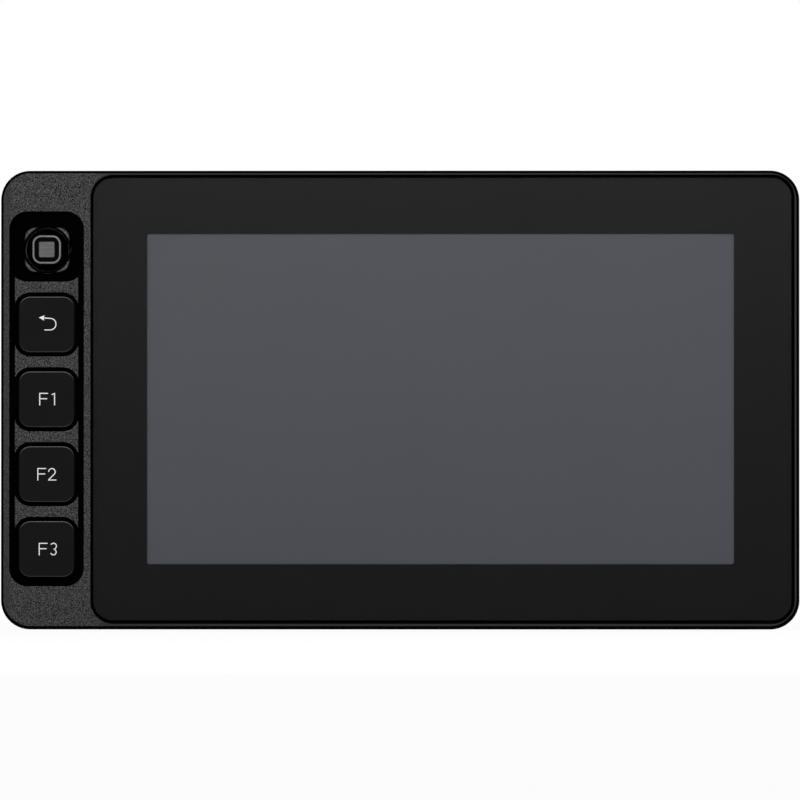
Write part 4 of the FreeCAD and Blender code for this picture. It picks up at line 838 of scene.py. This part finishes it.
class MONITOR_OT_fasteners(bpy.types.Operator):
    """Finishes the screws and the threaded inserts"""

    bl_idname = "monitor.fasteners"
    bl_label = "Fasteners"

    def execute(self, context):
        turned = (1, 0.3, 1)
        dark = drawn(
            "blackened_steel", (0.045, 0.045, 0.048), turned, spread=0.3, grain=0.4 * MM, rough=(0.32, 0.5)
        )
        bright = drawn("plated_steel", (0.5, 0.49, 0.46), turned)
        thread = drawn("insert_steel", (0.16, 0.16, 0.165), (1, 1, 0.2), rough=(0.36, 0.5))
        dress(dark, "housing_screws", "cover_screws")
        dress(bright, "frame_screws", "key_board_screws", "board_screws")
        dress(thread, "thread_inserts")
        return {"FINISHED"}


def legend_ink(settings):
    """White print with slightly thin patches."""
    finish = Finish("legend_ink")
    patch = finish.noise(0.25 * MM, 3.0)
    finish.principled(
        Base_Color=finish.varied(patch, settings.legend_white, 0.06),
        Roughness=finish.uneven(patch, 0.5, 0.62),
        Specular_IOR_Level=0.2,
        Normal=finish.bump(patch, 0.004 * MM, 0.4),
    )
    return finish


def print_on(key, name, shape, finish):
    """Lays a flat XY shape on a key's front as a thin print that moves with the key."""
    low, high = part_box(KEYS[key])
    centre = (low + high) / 2
    right, up = PRINT_OFFSETS[key]
    place = Vector((centre.x + right * MM, low.y, centre.z + up * MM))
    upright = Matrix.Rotation(math.pi / 2, 3, "X")
    bmesh.ops.recalc_face_normals(shape, faces=shape.faces)
    bmesh.ops.rotate(shape, verts=shape.verts, cent=Vector(), matrix=upright)
    bmesh.ops.translate(shape, verts=shape.verts, vec=place)
    mesh = bpy.data.meshes.new(name)
    shape.to_mesh(mesh)
    shape.free()
    mesh.materials.append(finish.material)
    piece = bpy.data.objects.new(name, mesh)
    bpy.context.scene.collection.objects.link(piece)
    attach(piece, f"{key}_key_unit")


def thicken(shape, ink):
    """Turns flat faces into a thin slab that stands on its own plane."""
    grown = bmesh.ops.extrude_face_region(shape, geom=shape.faces[:])
    raised = [part for part in grown["geom"] if isinstance(part, bmesh.types.BMVert)]
    bmesh.ops.translate(shape, verts=raised, vec=Vector((0, 0, ink)))


def across_edge(edge, ahead):
    """Whether an edge lies square to a direction."""
    return abs((edge.verts[0].co - edge.verts[1].co).normalized().dot(ahead)) < 0.01


def ribbon(shape, start, heading, width, moves):
    """A flat stroke from a point: each move is a length, or a radius and a turn to the left in degrees."""
    upward = Vector((0, 0, 1))
    ahead = Vector((math.cos(heading), math.sin(heading), 0))
    across = Vector((-ahead.y, ahead.x, 0)) * width / 2
    spot = Vector((*start, 0))
    ends = [shape.verts.new(spot + across), shape.verts.new(spot - across)]
    edge = shape.edges.new(ends)
    for move in moves:
        if isinstance(move, tuple):
            radius, degrees = move
            turn = math.radians(degrees)
            left = Vector((-ahead.y, ahead.x, 0)) * math.copysign(radius, turn)
            geometry = [*edge.verts, edge]
            pivot = spot + left
            swept = bmesh.ops.spin(
                shape, geom=geometry, cent=pivot, axis=upward, angle=turn, steps=ARC_STEPS
            )
            grown = swept["geom_last"]
            turned = Matrix.Rotation(turn, 3, "Z")
            spot = spot + left - turned @ left
            ahead = turned @ ahead
        else:
            grown = bmesh.ops.extrude_edge_only(shape, edges=[edge])["geom"]
            moved = [part for part in grown if isinstance(part, bmesh.types.BMVert)]
            bmesh.ops.translate(shape, verts=moved, vec=ahead * move)
            spot = spot + ahead * move
        new_edges = [part for part in grown if isinstance(part, bmesh.types.BMEdge)]
        edge = next(part for part in new_edges if across_edge(part, ahead))


def draw_f(shape, left, settings):
    """A stem with a full arm at the top and a shorter one at its middle."""
    tall = settings.cap_height
    width = settings.stroke
    half = width / 2
    arm = settings.letter_width - width
    ribbon(shape, (left + half, 0), UPWARD, width, [tall])
    ribbon(shape, (left + width, tall - half), RIGHTWARD, width, [arm])
    ribbon(shape, (left + width, tall * 0.53), RIGHTWARD, width, [arm * 0.88])


def draw_one(shape, left, settings):
    """A stem with a short flag that falls to the left."""
    tall = settings.cap_height
    width = settings.stroke
    wide = settings.letter_width
    stem = left + 0.45 * wide
    flag_heading = math.radians(205)
    ribbon(shape, (stem + width / 2, 0), UPWARD, width, [tall])
    ribbon(shape, (stem, tall - 0.75 * width), flag_heading, width * 0.9, [0.30 * wide])


def draw_two(shape, left, settings):
    """A bowl, a slanted stroke from its end to the baseline, and a foot."""
    tall = settings.cap_height
    width = settings.stroke
    half = width / 2
    wide = settings.letter_width
    bowl = wide * 0.43 - half
    bowl_turn = 228
    bowl_left = left + half * 0.9
    bowl_middle = tall - bowl - half
    ribbon(shape, (bowl_left, bowl_middle), UPWARD, width, [(bowl, -bowl_turn)])
    end_angle = math.radians(180 - bowl_turn)
    to_end = bowl * Vector((math.cos(end_angle), math.sin(end_angle)))
    slant_from = Vector((bowl_left + bowl, bowl_middle)) + to_end
    slant = Vector((left + width * 0.7, width)) - slant_from
    ribbon(shape, slant_from, math.atan2(slant.y, slant.x), width, [slant.length])
    ribbon(shape, (left, half), RIGHTWARD, width, [wide * 0.93])


def draw_three(shape, left, settings):
    """A smaller bowl over a larger one, both open to the left."""
    tall = settings.cap_height
    width = settings.stroke
    half = width / 2
    upper = tall * 0.235
    lower = (tall - width) / 2 - upper
    centre_x = left + settings.letter_width * 0.43
    start = (centre_x - upper * 0.82, tall - half - upper * 0.45)
    ribbon(shape, start, math.radians(60), width, [(upper, -238)])
    ribbon(shape, (centre_x, half + 2 * lower), RIGHTWARD, width, [(lower, -248)])


LETTERS = {"F": draw_f, "1": draw_one, "2": draw_two, "3": draw_three}


def letters(words, settings):
    """Plain letters as thin slabs, centred on the origin."""
    shape = bmesh.new()
    for index, letter in enumerate(words):
        LETTERS[letter](shape, index * settings.letter_pitch, settings)
    low = Vector((min(vert.co.x for vert in shape.verts), 0, 0))
    high = Vector((max(vert.co.x for vert in shape.verts), settings.cap_height, 0))
    bmesh.ops.translate(shape, verts=shape.verts, vec=-(low + high) / 2)
    thicken(shape, settings.ink)
    return shape


def return_arrow(settings):
    """An arrow that runs back to the left over a half circle, with swept barbs."""
    shape = bmesh.new()
    radius = settings.arrow_radius
    bend_x = 0.81 * MM
    tail = 1.10 * MM
    shaft = 1.32 * MM
    head_length = 0.92 * MM
    sweep = 0.14 * MM
    half_head = 0.50 * MM
    bend = 176
    ribbon(shape, (bend_x - tail, -radius), RIGHTWARD, settings.stroke, [tail, (radius, bend), shaft])
    turned = Matrix.Rotation(math.radians(bend), 3, "Z")
    ahead = turned @ Vector((1, 0, 0))
    across = turned @ Vector((0, 1, 0))
    end = Vector((bend_x, 0, 0)) - across * radius + ahead * shaft
    half_stroke = across * settings.stroke / 2
    barb = across * half_head
    back = end - ahead * sweep
    head = [end + half_stroke, back + barb, end + ahead * head_length, back - barb, end - half_stroke]
    shape.faces.new([shape.verts.new(corner) for corner in head])
    thicken(shape, settings.ink)
    return shape


class MONITOR_OT_legends(bpy.types.Operator):
    """Prints the return arrow and the function numbers on the keys"""

    bl_idname = "monitor.legends"
    bl_label = "Legends"

    def execute(self, context):
        settings = context.scene.monitor_legends
        finish = legend_ink(context.scene.monitor_finish)
        print_on("back", "back_legend", return_arrow(settings), finish)
        for key in ("f1", "f2", "f3"):
            print_on(key, f"{key}_legend", letters(key.upper(), settings), finish)
        return {"FINISHED"}


def seen_ray(tree):
    """1 for rays from the camera, from gloss and through glass, 0 for those that only light things."""
    path = tree.nodes.new("ShaderNodeLightPath")
    seen = path.outputs["Is Camera Ray"]
    for name in ("Is Glossy Ray", "Is Transmission Ray"):
        either = tree.nodes.new("ShaderNodeMath")
        either.operation = "MAXIMUM"
        tree.links.new(seen, either.inputs[0])
        tree.links.new(path.outputs[name], either.inputs[1])
        seen = either.outputs[0]
    return seen


def pale_floor(settings):
    """A pale floor that reads as white and keeps a soft shadow."""
    finish = Finish("pale_floor")
    mottle = finish.noise(40 * MM, 2.0)
    matt = finish.principled(
        Base_Color=finish.varied(mottle, settings.floor_colour, 0.01),
        Roughness=finish.uneven(mottle, 0.85, 0.95),
        Specular_IOR_Level=0.05,
    )
    white = finish.add("ShaderNodeEmission", {"Strength": 1.0})
    share = finish.math("MULTIPLY", seen_ray(finish.tree), FLOOR_WHITE_SHARE)
    shaders = {0: share, 1: matt.outputs[0], 2: white.outputs[0]}
    finish.show(finish.add("ShaderNodeMixShader", shaders))
    return finish


def lay_floor(scene, settings):
    """A wide floor under the monitor."""
    shape = bmesh.new()
    bmesh.ops.create_grid(shape, x_segments=2, y_segments=2, size=FLOOR_REACH)
    mesh = bpy.data.meshes.new("floor")
    shape.to_mesh(mesh)
    shape.free()
    mesh.materials.append(pale_floor(settings).material)
    floor = bpy.data.objects.new("floor", mesh)
    scene.collection.objects.link(floor)


def soft_room(level):
    """Even light from all sides, and a white background for what the camera, gloss and glass see."""
    world = bpy.data.worlds.new("soft_room")
    world.use_nodes = True
    tree = world.node_tree
    back = tree.nodes["Background"]
    strength = tree.nodes.new("ShaderNodeMapRange")
    strength.inputs["To Min"].default_value = level
    strength.inputs["To Max"].default_value = 1.0
    tree.links.new(seen_ray(tree), strength.inputs["Value"])
    tree.links.new(strength.outputs[0], back.inputs["Strength"])
    back.inputs["Color"].default_value = (1.0, 1.0, 1.0, 1.0)
    return world


def add_lamp(scene, name, place, target, size, level):
    """A soft lamp that gives a white card facing it a brightness."""
    lamp = bpy.data.lights.new(name, "AREA")
    lamp.shape = "RECTANGLE"
    lamp.size, lamp.size_y = size
    away = target - Vector(place)
    lamp.energy = level * math.pi**2 * away.length_squared
    thing = bpy.data.objects.new(name, lamp)
    thing.location = place
    thing.rotation_mode = "QUATERNION"
    thing.rotation_quaternion = away.to_track_quat("-Z", "Y")
    thing.visible_camera = False
    scene.collection.objects.link(thing)


def set_camera(scene, settings, target):
    """A camera that faces the screen from a little to the right and below."""
    lens = bpy.data.cameras.new("camera")
    lens.sensor_width = SENSOR_WIDTH
    lens.lens = lens.sensor_width * settings.view_distance / settings.view_width
    lens.clip_end = FAR_CLIP
    camera = bpy.data.objects.new("camera", lens)
    aim = Vector((target.x, FRONT_Y, target.z))
    turned = Matrix.Rotation(settings.view_turn, 3, "Z") @ Matrix.Rotation(settings.view_dip, 3, "X")
    camera.location = aim + turned @ Vector((0.0, -settings.view_distance, 0.0))
    camera.rotation_euler = (math.pi / 2 + settings.view_dip, 0.0, settings.view_turn)
    scene.collection.objects.link(camera)
    scene.camera = camera


class MONITOR_OT_stage(bpy.types.Operator):
    """Sets the floor, the lamps, the room and the camera"""

    bl_idname = "monitor.stage"
    bl_label = "Stage"

    def execute(self, context):
        scene = context.scene
        settings = scene.monitor_stage
        target = (LOW + HIGH) / 2
        lay_floor(scene, settings)
        scene.world = soft_room(settings.room_level)
        for name, (place, size, share) in LAMPS.items():
            add_lamp(scene, name, place, target, size, settings.lamp_level * share)
        set_camera(scene, settings, target)
        scene.view_settings.view_transform = "Standard"
        return {"FINISHED"}


SETTINGS = {
    "monitor_finish": MonitorFinishSettings,
    "monitor_legends": MonitorLegendSettings,
    "monitor_stage": MonitorStageSettings,
}
OPERATORS = (
    MONITOR_OT_housings,
    MONITOR_OT_screen,
    MONITOR_OT_keys,
    MONITOR_OT_joystick,
    MONITOR_OT_works,
    MONITOR_OT_connectors,
    MONITOR_OT_fasteners,
    MONITOR_OT_legends,
    MONITOR_OT_stage,
)


class MONITOR_PT_looks(bpy.types.Panel):
    """Lists the steps that dress the monitor, and their settings"""

    bl_idname = "MONITOR_PT_looks"
    bl_label = "Field Monitor"
    bl_space_type = "VIEW_3D"
    bl_region_type = "UI"
    bl_category = "Monitor"

    def draw(self, context):
        for group, kind in SETTINGS.items():
            box = self.layout.box()
            for name in kind.__annotations__:
                box.prop(getattr(context.scene, group), name)
        for operator in OPERATORS:
            self.layout.operator(operator.bl_idname)


CLASSES = (*SETTINGS.values(), *OPERATORS, MONITOR_PT_looks)


def register():
    """Makes the settings, the operators and the panel known to Blender."""
    for kind in CLASSES:
        bpy.utils.register_class(kind)
    for name, kind in SETTINGS.items():
        setattr(bpy.types.Scene, name, bpy.props.PointerProperty(type=kind))


def unregister():
    """Takes them out again."""
    for name in SETTINGS:
        delattr(bpy.types.Scene, name)
    for kind in reversed(CLASSES):
        bpy.utils.unregister_class(kind)


def main():
    """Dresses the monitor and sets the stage."""
    register()
    bpy.ops.monitor.housings()
    bpy.ops.monitor.screen()
    bpy.ops.monitor.keys()
    bpy.ops.monitor.joystick()
    bpy.ops.monitor.works()
    bpy.ops.monitor.connectors()
    bpy.ops.monitor.fasteners()
    bpy.ops.monitor.legends()
    bpy.ops.monitor.stage()


if __name__ == "__main__":
    main()
